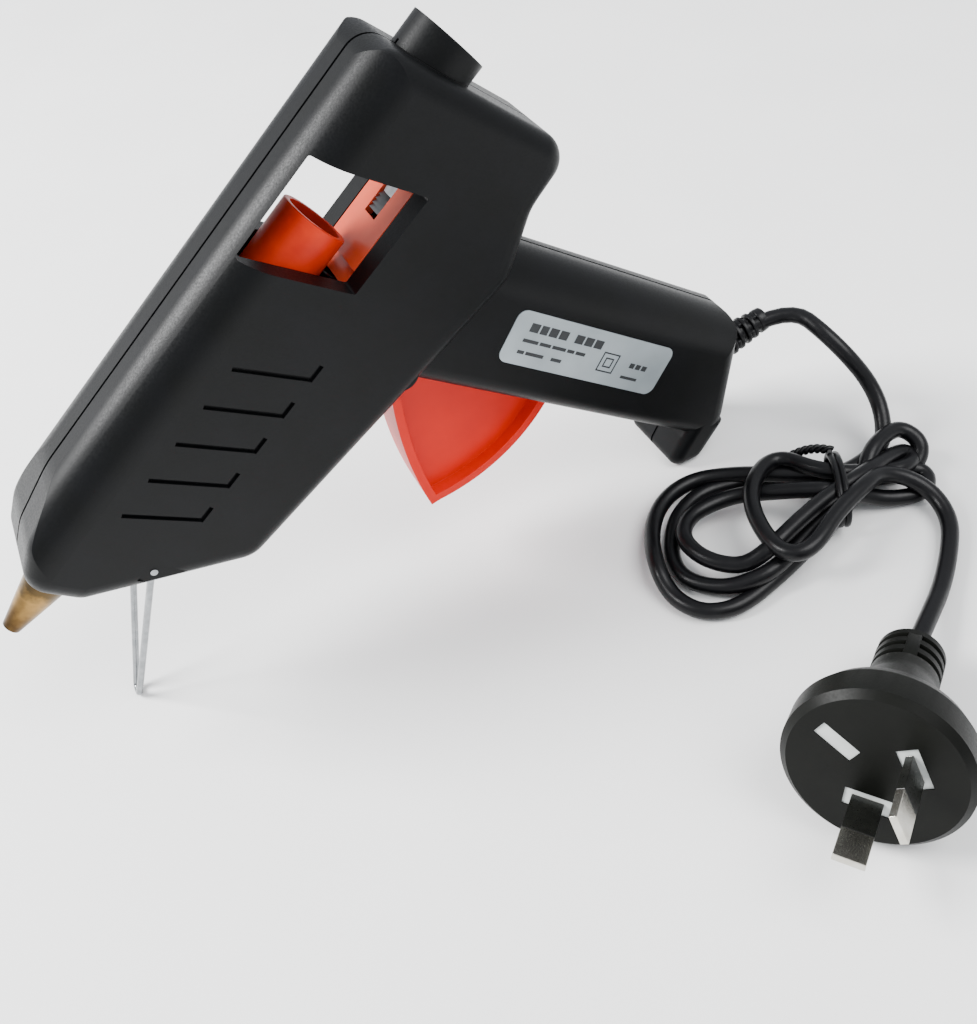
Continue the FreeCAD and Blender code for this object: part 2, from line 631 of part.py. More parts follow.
# ---------------------------------------------------------------- feed
def trigger():
    blade = slab(trigger_wire(), -TRIGGER_HALF, TRIGGER_HALF)
    pocket = trigger_wire().makeOffset2D(-TRIGGER_RIM)
    low_part = block(60, 130, -20, 20, -100, PIVOT_Z - 9)
    blade = blade.cut([slab(pocket, TRIGGER_WEB, 20).common(low_part),
                       slab(pocket, -20, -TRIGGER_WEB).common(low_part)])
    hub = cross_rod(HUB_R, PIVOT_X, PIVOT_Z, -TRIGGER_HALF, TRIGGER_HALF)
    reach = math.hypot(DRIVE_X - PIVOT_X, DRIVE_Z - PIVOT_Z)
    arm = block(0, reach, -ARM_HALF, ARM_HALF, -2.6, 2.6)
    arm.rotate(V(0, 0, 0), ACROSS, -math.degrees(math.atan2(DRIVE_Z - PIVOT_Z, DRIVE_X - PIVOT_X)))
    arm.translate(at(PIVOT_X, PIVOT_Z))
    eye = cross_rod(2.6, DRIVE_X, DRIVE_Z, -ARM_HALF, ARM_HALF)
    body = blade.fuse([hub, arm, eye])
    return body.cut([cross_rod(PIN_R + SLIP, PIVOT_X, PIVOT_Z, -20, 20),
                     cross_rod(PIN_R + 0.01, DRIVE_X, DRIVE_Z, -20, 20)]).removeSplitter()


def feed_carriage():
    low = PLATE_TOP_Z - PLATE_THICK
    plate = block(PLATE_FRONT_X, PLATE_END_X, -PLATE_HALF, PLATE_HALF, low, PLATE_TOP_Z)
    plate = plate.cut(block(JAW_TIP_X - 1.2, PLATE_END_X - 2.0, -JAW_HALF - 0.4, JAW_HALF + 0.4, -30, 0))
    ears, lugs = [], []
    for side in (-1, 1):
        inner, outer = sorted((side * (ARM_HALF + 0.5), side * (ARM_HALF + 3.0)))
        ears.append(block(EAR_FRONT_X, 121.0, inner, outer, -23.6, low))
        inner, outer = sorted((side * (JAW_HALF + 0.4), side * (JAW_HALF + 2.2)))
        lugs.append(block(JAW_X - 2.5, JAW_X + 2.5, inner, outer, JAW_Z - 2.2, low))
    slot = block(DRIVE_X - PIN_R - 0.35, DRIVE_X + PIN_R + 0.35, -20, 20, -30, -13.6)
    jaw_hole = cross_rod(JAW_PIN_R + 0.01, JAW_X, JAW_Z, -20, 20)
    shelf = block(EAR_FRONT_X, PLATE_FRONT_X + 1, -ARM_HALF - 3.0, ARM_HALF + 3.0, low, low + 0.9)
    return plate.fuse(ears + lugs + [shelf]).cut([slot, jaw_hole]).removeSplitter()


def gripper_jaw():
    top = PLATE_TOP_Z - 0.1
    teeth = []
    step = 1.1
    for i in range(4):
        x = JAW_TIP_X + i * step
        teeth += [at(x, top), at(x + step, top - 0.6)]
    outline = teeth + [at(JAW_X + 0.8, top), at(JAW_X + 2.0, JAW_Z), at(JAW_X, JAW_Z - 2.0),
                       at(JAW_TIP_X + 0.6, top - 2.6)]
    face = Part.Face(Part.makePolygon(outline + outline[:1]))
    face.translate(V(0, -JAW_HALF, 0))
    body = face.extrude(V(0, 2 * JAW_HALF, 0))
    return body.cut(cross_rod(JAW_PIN_R + SLIP, JAW_X, JAW_Z, -20, 20))


def return_spring():
    return helix_spring(SPRING_R, SPRING_WIRE_R, 1.9, EAR_FRONT_X - SPRING_SEAT_X - 2 * SPRING_WIRE_R,
                        V(SPRING_SEAT_X + SPRING_WIRE_R, SPRING_Y, SPRING_Z), 90.0)


def spring_seat():
    """The rib that the return spring pushes on, part of the right shell."""
    return block(SPRING_SEAT_X - 2.0, SPRING_SEAT_X, SPRING_Y - SPRING_R - 1.0, BARREL_HALF - 1,
                 SPRING_Z - SPRING_R - 1.5, SPRING_Z + SPRING_R + 1.5)


# ---------------------------------------------------------------- stand
def wire_stand():
    tip = stand_tip()
    flat = 1.6
    points = [at(STAND_X, STAND_Z, -BARREL_HALF + 0.6), at(STAND_X, STAND_Z, -STAND_Y),
              tip + V(0, -flat, 0), tip + V(0, flat, 0),
              at(STAND_X, STAND_Z, STAND_Y), at(STAND_X, STAND_Z, BARREL_HALF - 0.6)]
    return wire_along(bent_path(points, [1.5, 1.3, 1.3, 1.5]), WIRE_R)


# ---------------------------------------------------------------- electrics
def strain_relief():
    axis = relief_direction()
    start = along_relief(0)
    neck = rod(RELIEF_NECK_R, along_relief(-4.6), along_relief(3.5))
    flange = rod(RELIEF_NECK_R + 1.6, along_relief(-7.2), along_relief(-4.6))
    cone = Part.makeCone(RELIEF_BASE_R, RELIEF_TIP_R, RELIEF_OUT - 3.0, start + axis * 3.0, axis)
    grooves = []
    for i in range(5):
        middle = 5.0 + i * 2.6
        radius = RELIEF_BASE_R - (RELIEF_BASE_R - RELIEF_TIP_R) * (middle - 3.0) / (RELIEF_OUT - 3.0)
        band = rod(radius + 2, along_relief(middle), along_relief(middle + 1.1))
        grooves.append(band.cut(rod(radius - 0.8, along_relief(middle - 1), along_relief(middle + 3))))
    bore = rod(CORD_R, along_relief(-12), along_relief(RELIEF_OUT + 2))
    return neck.fuse([flange, cone]).cut(grooves + [bore]).removeSplitter()


def inner_cord():
    return rod(CORD_R, along_relief(-CLAMP_BACK - 6.0), along_relief(0))


def cord_clamp():
    axis = relief_direction()
    side = V(-axis.z, 0, axis.x)
    turn = -RELIEF_ANGLE
    end = CLAMP_REACH + 2.2
    top = CORD_R + 2.2
    bridge = block(-2.4, 2.4, CORD_R, top, -end, end)
    feet = [block(-2.4, 2.4, 0.02, top, -end, 4.4 - end), block(-2.4, 2.4, 0.02, top, end - 4.4, end)]
    bar = bridge.fuse(feet)
    bar.rotate(V(0, 0, 0), ACROSS, turn)
    bar.translate(clamp_centre())
    holes = [cross_rod(SCREW_R + FIT, p.x, p.z, -5, 10) for p in clamp_spots()]
    return bar.cut(holes).removeSplitter()


def clamp_screws():
    screws = []
    for p in clamp_spots():
        seat = CORD_R + 2.2
        shank = cross_rod(SCREW_R, p.x, p.z, -6.0, seat)
        head = cross_rod(SCREW_HEAD_R - 0.3, p.x, p.z, seat, seat + 1.6)
        notch = block(p.x - 1.4, p.x + 1.4, seat + 0.8, seat + 3, p.z - 0.3, p.z + 0.3)
        screws.append(shank.fuse(head).cut(notch).removeSplitter())
    return Part.makeCompound(screws)


def lead_points(side):
    return [at(CRIMP_X, CRIMP_Z + CRIMP_LENGTH, side * CRIMP_Y), at(131.0, -75.0, side * CRIMP_Y),
            at(128.5, -45.0, side * 9.0),
            at(119.0, -27.5, side * 9.6), at(95.0, -24.0, side * 8.0), at(77.0, -16.5, side * 4.5),
            at(HEATER_END_X + 2.2, HEATER_TOP_Z - HEATER_THICK / 2, side * 2.8)]


def lead_wires():
    paths = [bent_path(lead_points(side), [8.0, 8.0, 8.0, 8.0, 6.0]) for side in (-1, 1)]
    return Part.makeCompound([wire_along(path, CORE_R) for path in paths])


def crimp_connectors():
    crimps = []
    for side in (-1, 1):
        bottom = at(CRIMP_X, CRIMP_Z, side * CRIMP_Y)
        crimps.append(rod(CRIMP_R, bottom, bottom + V(0, 0, CRIMP_LENGTH)))
    return Part.makeCompound(crimps)


def cord_cores():
    cores = []
    for side in (-1, 1):
        end = along_relief(-CLAMP_BACK - 6.0) + V(0, side * 1.1, 0)
        back = relief_direction() * -3.0
        points = [at(CRIMP_X, CRIMP_Z, side * CRIMP_Y), at(CRIMP_X, CRIMP_Z - 4.5, side * CRIMP_Y),
                  end + back, end]
        cores.append(wire_along(bent_path(points, [3.0, 1.5]), CORE_R))
    return Part.makeCompound(cores)


# ---------------------------------------------------------------- plug, drawn along +X, face at X = 0
def plug_body():
    profile = [(-PLUG_LENGTH, 0), (-PLUG_LENGTH, PLUG_NECK_R - 1.0), (-PLUG_LENGTH + 1.0, PLUG_NECK_R)]
    for i in range(3):
        x = -PLUG_LENGTH + 2.6 + i * 3.2
        profile += [(x, PLUG_NECK_R), (x + 0.3, PLUG_NECK_R - 1.3), (x + 1.3, PLUG_NECK_R - 1.3),
                    (x + 1.6, PLUG_NECK_R)]
    profile += [(-28.0, PLUG_NECK_R + 0.4), (-20.0, 11.0), (-11.5, 17.3), (-PLUG_RIM_BACK, PLUG_RIM_R),
                (-1.5, PLUG_RIM_R), (0, PLUG_RIM_R - 1.5), (0, 0)]
    hollow = carrier_blank() + window_pads(1.0)
    hollow += [blade_block(spot, -BLADE_ROOT - 0.5, 1.0, 0.02) for spot in blade_spots()]
    return turned(profile).cut(hollow)


def face_point(radius, degrees):
    angle = math.radians(degrees)
    return V(0, radius * math.cos(angle), radius * math.sin(angle))


def blade_spots():
    return [PLUG_ROLL - 120.0, PLUG_ROLL + 120.0]


def blade_block(degrees, x0, x1, gap, circle=PIN_CIRCLE_R, width=BLADE_WIDTH, thick=BLADE_THICK):
    """A flat blade whose width runs round the face, at the given direction from its centre."""
    blade = block(x0, x1, -thick / 2 - gap, thick / 2 + gap, -width / 2 - gap, width / 2 + gap)
    blade.rotate(V(0, 0, 0), V(1, 0, 0), degrees)
    blade.translate(face_point(circle, degrees))
    return blade


def carrier_blank():
    return [rod(CARRIER_R, V(-CARRIER_DEPTH - 2.0, 0, 0), V(-CARRIER_DEPTH, 0, 0))]


def window_pads(top):
    """The carrier's pads, seen in windows in the face: one round each blade and the blank earth."""
    pads = [blade_block(spot, -CARRIER_DEPTH, top, 0.0, width=9.4, thick=4.4) for spot in blade_spots()]
    pads.append(blade_block(PLUG_ROLL, -CARRIER_DEPTH, top, 0.0, circle=EARTH_CIRCLE_R - 0.9, width=3.4,
                            thick=9.0))
    return pads


def pin_carrier():
    body = carrier_blank()[0].fuse(window_pads(-PAD_DEPTH))
    return body.cut([blade_block(s, -10, 3, 0.02) for s in blade_spots()]).removeSplitter()


def plug_blades():
    blades = [blade_block(s, -BLADE_ROOT, BLADE_LENGTH, 0.0) for s in blade_spots()]
    waist = [blade_block(s, -PAD_DEPTH, BLADE_SLEEVE, 1.0).cut(
        blade_block(s, -1.0, BLADE_SLEEVE + 1, -SLEEVE_SKIN)) for s in blade_spots()]
    return Part.makeCompound([b.cut(w) for b, w in zip(blades, waist)])


def blade_sleeves():
    tubes = [blade_block(s, -PAD_DEPTH, BLADE_SLEEVE, 0.0).cut(blade_block(s, -1, 20, -SLEEVE_SKIN))
             for s in blade_spots()]
    return Part.makeCompound(tubes)


def plug_place():
    """The plug lies on its rim and its neck, pins tilted up."""
    lean = math.atan2(PLUG_RIM_R - PLUG_NECK_R, PLUG_LENGTH - 1.0 - PLUG_RIM_BACK)
    height = PLUG_RIM_R * math.cos(lean) + PLUG_RIM_BACK * math.sin(lean)
    turn = FreeCAD.Rotation(V(0, 0, 1), PLUG_TURN) * FreeCAD.Rotation(ACROSS, -math.degrees(lean))
    return FreeCAD.Placement(V(PLUG_FACE[0], PLUG_FACE[1], height), turn)


# ---------------------------------------------------------------- the cord as it lies, standing frame
PLUG_FACE = (51.1, -122.7)
EXIT_ROUTE = [(119.6, 0.6, 30.6), (122.4, -19.0, 27.0), (129.4, -28.6, 13.0), (130.2, -38.0, 6.2)]
TAIL_ROUTE = [(110.0, -43.0, 5.2), (123.0, -46.0, 3.6), (129.4, -59.6, 2.6), (121.6, -72.6, 2.4),
              (107.4, -83.8, 2.8), (95.0, -90.4, 4.6)]
HANK_LOW, HANK_HIGH = 0.0, 14.8
HANK_ROUND = 3.0
HANK_OUTLINE = [(46.6, -49.6), (49.0, -40.0), (55.0, -28.0), (62.0, -20.6), (70.0, -16.2), (78.0, -15.8),
                (86.0, -19.0), (96.0, -28.0), (108.0, -31.0), (118.0, -35.6), (129.0, -33.6),
                (134.0, -40.0), (132.0, -50.0), (125.0, -60.0), (110.0, -59.4), (96.0, -58.6),
                (80.0, -62.8), (62.0, -66.0), (53.0, -64.4), (47.6, -58.0)]
TIE_X, TIE_Y = 103.5, -45.0
TIE_WIDTH = 2.6
TIE_SLEW = -8.0


def hank():
    corners = [V(x, y, HANK_LOW) for x, y in HANK_OUTLINE]
    edge = Part.makePolygon(corners + corners[:1])
    solid = Part.Face(edge).extrude(V(0, 0, HANK_HIGH - HANK_LOW))
    top = [e for e in solid.Edges if e.BoundBox.ZMin > HANK_HIGH - 0.01]
    return solid.makeChamfer(HANK_ROUND, top)


def hank_tie(bundle):
    strap = block(-TIE_WIDTH / 2, TIE_WIDTH / 2, -17.0, 17.0, 0, HANK_HIGH + 1.0)
    strap.rotate(V(0, 0, 0), V(0, 0, 1), TIE_SLEW)
    strap.translate(V(TIE_X, TIE_Y, 0))
    return strap.cut(bundle)


def tube(points, name):
    radii = loose_radii(points)
    path = bent_path(points, radii)
    solid = wire_along(path, CORD_R)
    expected = math.pi * CORD_R ** 2 * path.Length
    print(name, "length", round(path.Length, 1), "radii", [round(r, 1) for r in radii],
          "volume ratio", round(solid.Volume / expected, 4))
    return solid


def main():
    os.makedirs("parts", exist_ok=True)
    element, wrap, leaf = heater_parts()
    gun = {
        "left_shell": casing_half(False).removeSplitter(),
        "right_shell": casing_half(True).fuse(spring_seat()).removeSplitter(),
        "shell_screws": shell_screws(),
        "rating_label": label_shape(0.0),
        "nozzle": nozzle(),
        "check_ball": ball(BALL_R, at(BALL_X, 0)),
        "check_spring": check_spring(),
        "melt_chamber": melt_chamber(),
        "heater_element": element,
        "heater_insulation": wrap,
        "heater_clamp_spring": leaf,
        "inlet_sleeve": inlet_sleeve(),
        "sleeve_clamp": sleeve_clamp(),
        "trigger": trigger(),
        "trigger_pivot_pin": cross_rod(PIN_R, PIVOT_X, PIVOT_Z, -9.8, 9.8),
        "drive_pin": cross_rod(PIN_R, DRIVE_X, DRIVE_Z, -ARM_HALF - 2.8, ARM_HALF + 2.8),
        "feed_carriage": feed_carriage(),
        "gripper_jaw": gripper_jaw(),
        "jaw_pin": cross_rod(JAW_PIN_R, JAW_X, JAW_Z, -JAW_HALF - 2.0, JAW_HALF + 2.0),
        "return_spring": return_spring(),
        "wire_stand": wire_stand(),
        "inner_cord": inner_cord(),
        "cord_clamp": cord_clamp(),
        "clamp_screws": clamp_screws(),
        "cord_cores": cord_cores(),
        "crimp_connectors": crimp_connectors(),
        "lead_wires": lead_wires(),
    }
    relief = strain_relief()
    stand = FreeCAD.Placement(V(0, 0, 0), FreeCAD.Rotation(ACROSS, -FOOT_ANGLE))
    for shape in list(gun.values()) + [relief]:
        shape.Placement = stand.multiply(shape.Placement)
    boxes = [shape.optimalBoundingBox() for shape in gun.values()]
    middle = (min(b.XMin for b in boxes) + max(b.XMax for b in boxes)) / 2
    floor = min(b.ZMin for b in boxes)
    move = V(-middle, 0, -floor)
    for shape in list(gun.values()) + [relief]:
        shape.translate(move)
    exit_point = stand.multVec(along_relief(0)) + move
    print("shift", [round(c, 2) for c in move])
    print("cord leaves the wall at", [round(c, 2) for c in exit_point])
    plug = {"plug_body": plug_body(), "pin_carrier": pin_carrier(), "plug_blades": plug_blades(),
            "blade_sleeves": blade_sleeves()}
    place = plug_place()
    neck = place.multVec(V(-PLUG_LENGTH, 0, 0))
    print("plug neck", [round(c, 2) for c in neck])
    for shape in plug.values():
        shape.Placement = place.multiply(shape.Placement)
    bundle = hank()
    cord = {"strain_relief": relief,
            "cord_lead": tube([exit_point] + [V(*p) for p in EXIT_ROUTE], "cord_lead"),
            "cord_tail": tube([V(*p) for p in TAIL_ROUTE] + [neck], "cord_tail"),
            "cord_hank": bundle, "cord_tie": hank_tie(bundle)}
    for name, shape in {**gun, **cord, **plug}.items():
        if not shape.isValid():
            print("not valid:", name)
        if len(shape.Solids) < 1:
            print("no solid:", name)
        shape.exportStep(os.path.join("parts", name + ".step"))
        print(name, len(shape.Solids), round(shape.Volume, 1))


main()
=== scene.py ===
import logging
import math
from dataclasses import dataclass, field
from enum import Enum

import bpy
from mathutils import Matrix, Vector


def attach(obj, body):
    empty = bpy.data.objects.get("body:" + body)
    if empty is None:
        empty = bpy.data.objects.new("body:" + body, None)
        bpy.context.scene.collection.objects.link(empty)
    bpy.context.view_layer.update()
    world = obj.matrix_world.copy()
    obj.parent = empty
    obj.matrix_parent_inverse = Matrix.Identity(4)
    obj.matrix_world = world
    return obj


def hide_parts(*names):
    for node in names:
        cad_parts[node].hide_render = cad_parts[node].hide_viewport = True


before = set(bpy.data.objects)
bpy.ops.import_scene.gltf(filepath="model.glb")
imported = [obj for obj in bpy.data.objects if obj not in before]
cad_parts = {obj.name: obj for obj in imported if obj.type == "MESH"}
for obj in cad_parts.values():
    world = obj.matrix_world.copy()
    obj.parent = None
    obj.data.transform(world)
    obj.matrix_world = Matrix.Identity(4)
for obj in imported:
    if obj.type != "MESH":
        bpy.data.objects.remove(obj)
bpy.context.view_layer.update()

MM = 0.001
LOG = logging.getLogger("glue_gun")

# How a copy of a CAD mesh is joined up and rounded.
CAD_MERGE = 0.004 * MM
FLAT_WITHIN = math.radians(0.03)
ROUNDED_ABOVE = math.radians(38.0)


# ------------------------------------------------------------------ the barrel's own axes
@dataclass(frozen=True)
class BarrelAxes:
    """The tilted axes that the gun is drawn in: x back from the nozzle tip, z towards the spine."""

    nose_down: float = math.radians(34.8)
    shift_x: float = -96.82
    shift_z: float = 39.3

    def point(self, x: float, z: float, y: float = 0.0) -> Vector:
        """Give a point of the gun in the row frame.

        Args:
            x: distance back from the nozzle tip, in mm.
            z: height above the stick axis, in mm.
            y: distance across, in mm.

        Returns:
            The point in metres.
        """
        c, s = math.cos(self.nose_down), math.sin(self.nose_down)
        return Vector((x * c - z * s + self.shift_x, y, x * s + z * c + self.shift_z)) * MM

    def heading(self, x: float, z: float) -> Vector:
        """Give a unit direction of the gun in the row frame."""
        c, s = math.cos(self.nose_down), math.sin(self.nose_down)
        return Vector((x * c - z * s, 0.0, x * s + z * c)).normalized()


BARREL = BarrelAxes()


# ------------------------------------------------------------------ small tools
def linear(code: str, alpha: float = 1.0) -> tuple[float, float, float, float]:
    """Turn an sRGB hex colour into linear light.

    Args:
        code: the colour as "#rrggbb".
        alpha: its opacity.

    Returns:
        Red, green, blue and alpha.
    """
    parts = [int(code[i:i + 2], 16) / 255 for i in (1, 3, 5)]
    light = [c / 12.92 if c <= 0.04045 else ((c + 0.055) / 1.055) ** 2.4 for c in parts]
    return (light[0], light[1], light[2], alpha)


def select_only(*objs: bpy.types.Object) -> None:
    """Select these objects alone, the first one active.

    Args:
        objs: the objects.
    """
    bpy.ops.object.select_all(action="DESELECT")
    for obj in objs:
        obj.select_set(True)
    bpy.context.view_layer.objects.active = objs[0]


def settle(obj: bpy.types.Object, name: str) -> bpy.types.Object:
    """Name a finished piece and move its place into its mesh.

    Args:
        obj: the piece.
        name: its name.

    Returns:
        The piece.
    """
    select_only(obj)
    bpy.ops.object.transform_apply(location=True, rotation=True, scale=True)
    obj.name = name
    obj.data.name = name
    return obj


def apply_modifier(obj: bpy.types.Object, kind: str, **settings: object) -> None:
    """Add a modifier, set it and apply it.

    Args:
        obj: the piece.
        kind: the modifier's type name.
        settings: its settings.
    """
    select_only(obj)
    modifier = obj.modifiers.new(kind.lower(), kind)
    for key, value in settings.items():
        setattr(modifier, key, value)
    bpy.ops.object.modifier_apply(modifier=modifier.name)


def smooth(obj: bpy.types.Object, degrees: float) -> None:
    """Shade a piece smooth, with edges sharper than the angle kept crisp."""
    select_only(obj)
    bpy.ops.object.shade_smooth_by_angle(angle=math.radians(degrees))


def outward(obj: bpy.types.Object) -> None:
    """Merge a mesh's doubles and turn all its faces outwards.

    Args:
        obj: the piece.
    """
    select_only(obj)
    bpy.ops.object.mode_set(mode="EDIT")
    bpy.ops.mesh.select_all(action="SELECT")
    bpy.ops.mesh.remove_doubles(threshold=0.002 * MM)
    bpy.ops.mesh.normals_make_consistent(inside=False)
    bpy.ops.object.mode_set(mode="OBJECT")


def softened(cad_name: str, width: float, name: str, body: str, segments: int = 2) -> bpy.types.Object:
    """Copy a CAD node, join its facets and round its sharp edges, as moulded and machined ones are.

    Args:
        cad_name: the CAD node that the copy stands for.
        width: the rounding's width in mm.
        name: the copy's name.
        body: the body it rides on.
        segments: steps across the rounding.

    Returns:
        The copy.
    """
    copy = bpy.data.objects.new(name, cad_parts[cad_name].data.copy())
    bpy.context.scene.collection.objects.link(copy)
    select_only(copy)
    bpy.ops.object.mode_set(mode="EDIT")
    bpy.ops.mesh.select_all(action="SELECT")
    bpy.ops.mesh.remove_doubles(threshold=CAD_MERGE)
    bpy.ops.mesh.dissolve_limited(angle_limit=FLAT_WITHIN)
    bpy.ops.object.mode_set(mode="OBJECT")
    apply_modifier(copy, "BEVEL", width=width * MM, segments=segments, limit_method="ANGLE",
                   angle_limit=ROUNDED_ABOVE)
    apply_modifier(copy, "TRIANGULATE", min_vertices=5)
    smooth(copy, 32.0)
    apply_modifier(copy, "WEIGHTED_NORMAL", keep_sharp=True, weight=60)
    copy.data.materials.clear()
    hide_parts(cad_name)
    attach(copy, body)
    return copy


# ------------------------------------------------------------------ finishes
def node(tree: bpy.types.NodeTree, kind: str, settings: dict[str, object] | None = None,
         inputs: dict[str | int, object] | None = None,
         stops: list[tuple[float, tuple[float, float, float, float]]] | None = None) -> bpy.types.Node:
    """Add a shader node with its settings, values and links.

    Args:
        tree: the material's node tree.
        kind: the node's type.
        settings: attributes of the node.
        inputs: by input name or number, a value or an output socket to link from.
        stops: places and colours along a colour band, in order.

    Returns:
        The node.
    """
    made = tree.nodes.new(kind)
    for key, value in (settings or {}).items():
        setattr(made, key, value)
    for key, value in (inputs or {}).items():
        if isinstance(value, bpy.types.NodeSocket):
            tree.links.new(value, made.inputs[key])
        else:
            made.inputs[key].default_value = value
    for count, (place, colour) in enumerate(stops or []):
        band = made.color_ramp.elements
        if count >= len(band):
            band.new(place)
        band[count].position, band[count].color = place, colour
    return made


@dataclass(frozen=True)
class Finish:
    """A material: its two tones, its gloss, and the grain that its making leaves."""

    name: str
    base: str
    shade: str
    roughness: float
    metallic: float = 0.0
    ior: float = 1.5
    mottle_mm: float = 6.0
    grain_mm: float = 0.5
    grain_depth_mm: float = 0.01
    gloss_spread: float = 0.08
    stretch: tuple[float, float, float] = (1.0, 1.0, 1.0)
    coat: float = 0.0
    coat_roughness: float = 0.1
    scatter: float = 0.0
    scatter_mm: float = 1.0
    specular: float = 0.5

    def build(self) -> bpy.types.Material:
        """Make the material.

        Returns:
            A node-based material on Object coordinates.
        """
        material = bpy.data.materials.new(self.name)
        material.use_nodes = True
        tree = material.node_tree
        shader = tree.nodes["Principled BSDF"]
        place = node(tree, "ShaderNodeTexCoord").outputs["Object"]
        spread = node(tree, "ShaderNodeMapping", inputs={"Vector": place, "Scale": self.stretch})
        mottle = node(tree, "ShaderNodeTexNoise",
                      inputs={"Vector": place, "Scale": 1 / (self.mottle_mm * MM), "Detail": 3.0})
        grain = node(tree, "ShaderNodeTexNoise",
                     inputs={"Vector": spread.outputs[0], "Scale": 1 / (self.grain_mm * MM), "Detail": 2.0})
        tone = node(tree, "ShaderNodeValToRGB", inputs={"Fac": mottle.outputs["Fac"]},
                    stops=[(0.3, linear(self.shade)), (0.7, linear(self.base))])
        tree.links.new(tone.outputs["Color"], shader.inputs["Base Color"])
        gloss = node(tree, "ShaderNodeMapRange", inputs={
            "Value": grain.outputs["Fac"], "From Min": 0.3, "From Max": 0.7,
            "To Min": max(0.02, self.roughness - self.gloss_spread / 2),
            "To Max": min(1.0, self.roughness + self.gloss_spread / 2)})
        tree.links.new(gloss.outputs[0], shader.inputs["Roughness"])
        bump = node(tree, "ShaderNodeBump", inputs={
            "Height": grain.outputs["Fac"], "Strength": 1.0, "Distance": self.grain_depth_mm * MM})
        tree.links.new(bump.outputs[0], shader.inputs["Normal"])
        shader.inputs["Metallic"].default_value = self.metallic
        shader.inputs["IOR"].default_value = self.ior
        shader.inputs["Coat Weight"].default_value = self.coat
        shader.inputs["Coat Roughness"].default_value = self.coat_roughness
        shader.inputs["Subsurface Weight"].default_value = self.scatter
        shader.inputs["Subsurface Scale"].default_value = self.scatter_mm * MM
        shader.inputs["Specular IOR Level"].default_value = self.specular
        return material


@dataclass(frozen=True)
class TipDarkenedBrass(Finish):
    """Brass that is darker towards the tip, with turning marks round it."""

    tip: Vector = field(default_factory=lambda: BARREL.point(0, 0))
    tint_run_mm: float = 18.0
    patch_mm: float = 2.38
    turning_pitch_mm: float = 0.45
    turning_depth_mm: float = 0.006

    def build(self) -> bpy.types.Material:
        """Make the material, with a dark tint that runs back from the tip.

        Returns:
            The material.
        """
        material = super().build()
        tree = material.node_tree
        shader = tree.nodes["Principled BSDF"]
        place = node(tree, "ShaderNodeTexCoord").outputs["Object"]
        axis = BARREL.heading(1, 0)
        offset = node(tree, "ShaderNodeVectorMath", {"operation": "SUBTRACT"}, {0: place, 1: self.tip})
        along = node(tree, "ShaderNodeVectorMath", {"operation": "DOT_PRODUCT"},
                     {0: offset.outputs[0], 1: axis})
        depth = node(tree, "ShaderNodeMapRange",
                     inputs={"Value": along.outputs["Value"], "From Min": 0.0,
                             "From Max": self.tint_run_mm * MM})
        patch = node(tree, "ShaderNodeTexNoise",
                     inputs={"Vector": place, "Scale": 1 / (self.patch_mm * MM), "Detail": 4.0})
        mixed = node(tree, "ShaderNodeMath", {"operation": "MULTIPLY_ADD"},
                     {0: patch.outputs["Fac"], 1: 0.5, 2: depth.outputs[0]})
        # The brass colour is darkest at the tip and lighter further back, broken into patches by noise.
        tint = node(tree, "ShaderNodeValToRGB", inputs={"Fac": mixed.outputs[0]}, stops=[
            (0.15, linear("#2c1f10")), (0.45, linear("#594325")), (0.8, linear("#8f7040")),
            (1.0, linear("#4f4029"))])
        tree.links.new(tint.outputs["Color"], shader.inputs["Base Color"])
        rings = node(tree, "ShaderNodeMath", {"operation": "SINE"},
                     {0: node(tree, "ShaderNodeMath", {"operation": "MULTIPLY"},
                              {0: along.outputs["Value"],
                               1: 2 * math.pi / (self.turning_pitch_mm * MM)}).outputs[0]})
        marks = node(tree, "ShaderNodeBump", inputs={
            "Height": rings.outputs[0], "Strength": 0.5, "Distance": self.turning_depth_mm * MM})
        tree.links.new(marks.outputs[0], shader.inputs["Normal"])
        return material


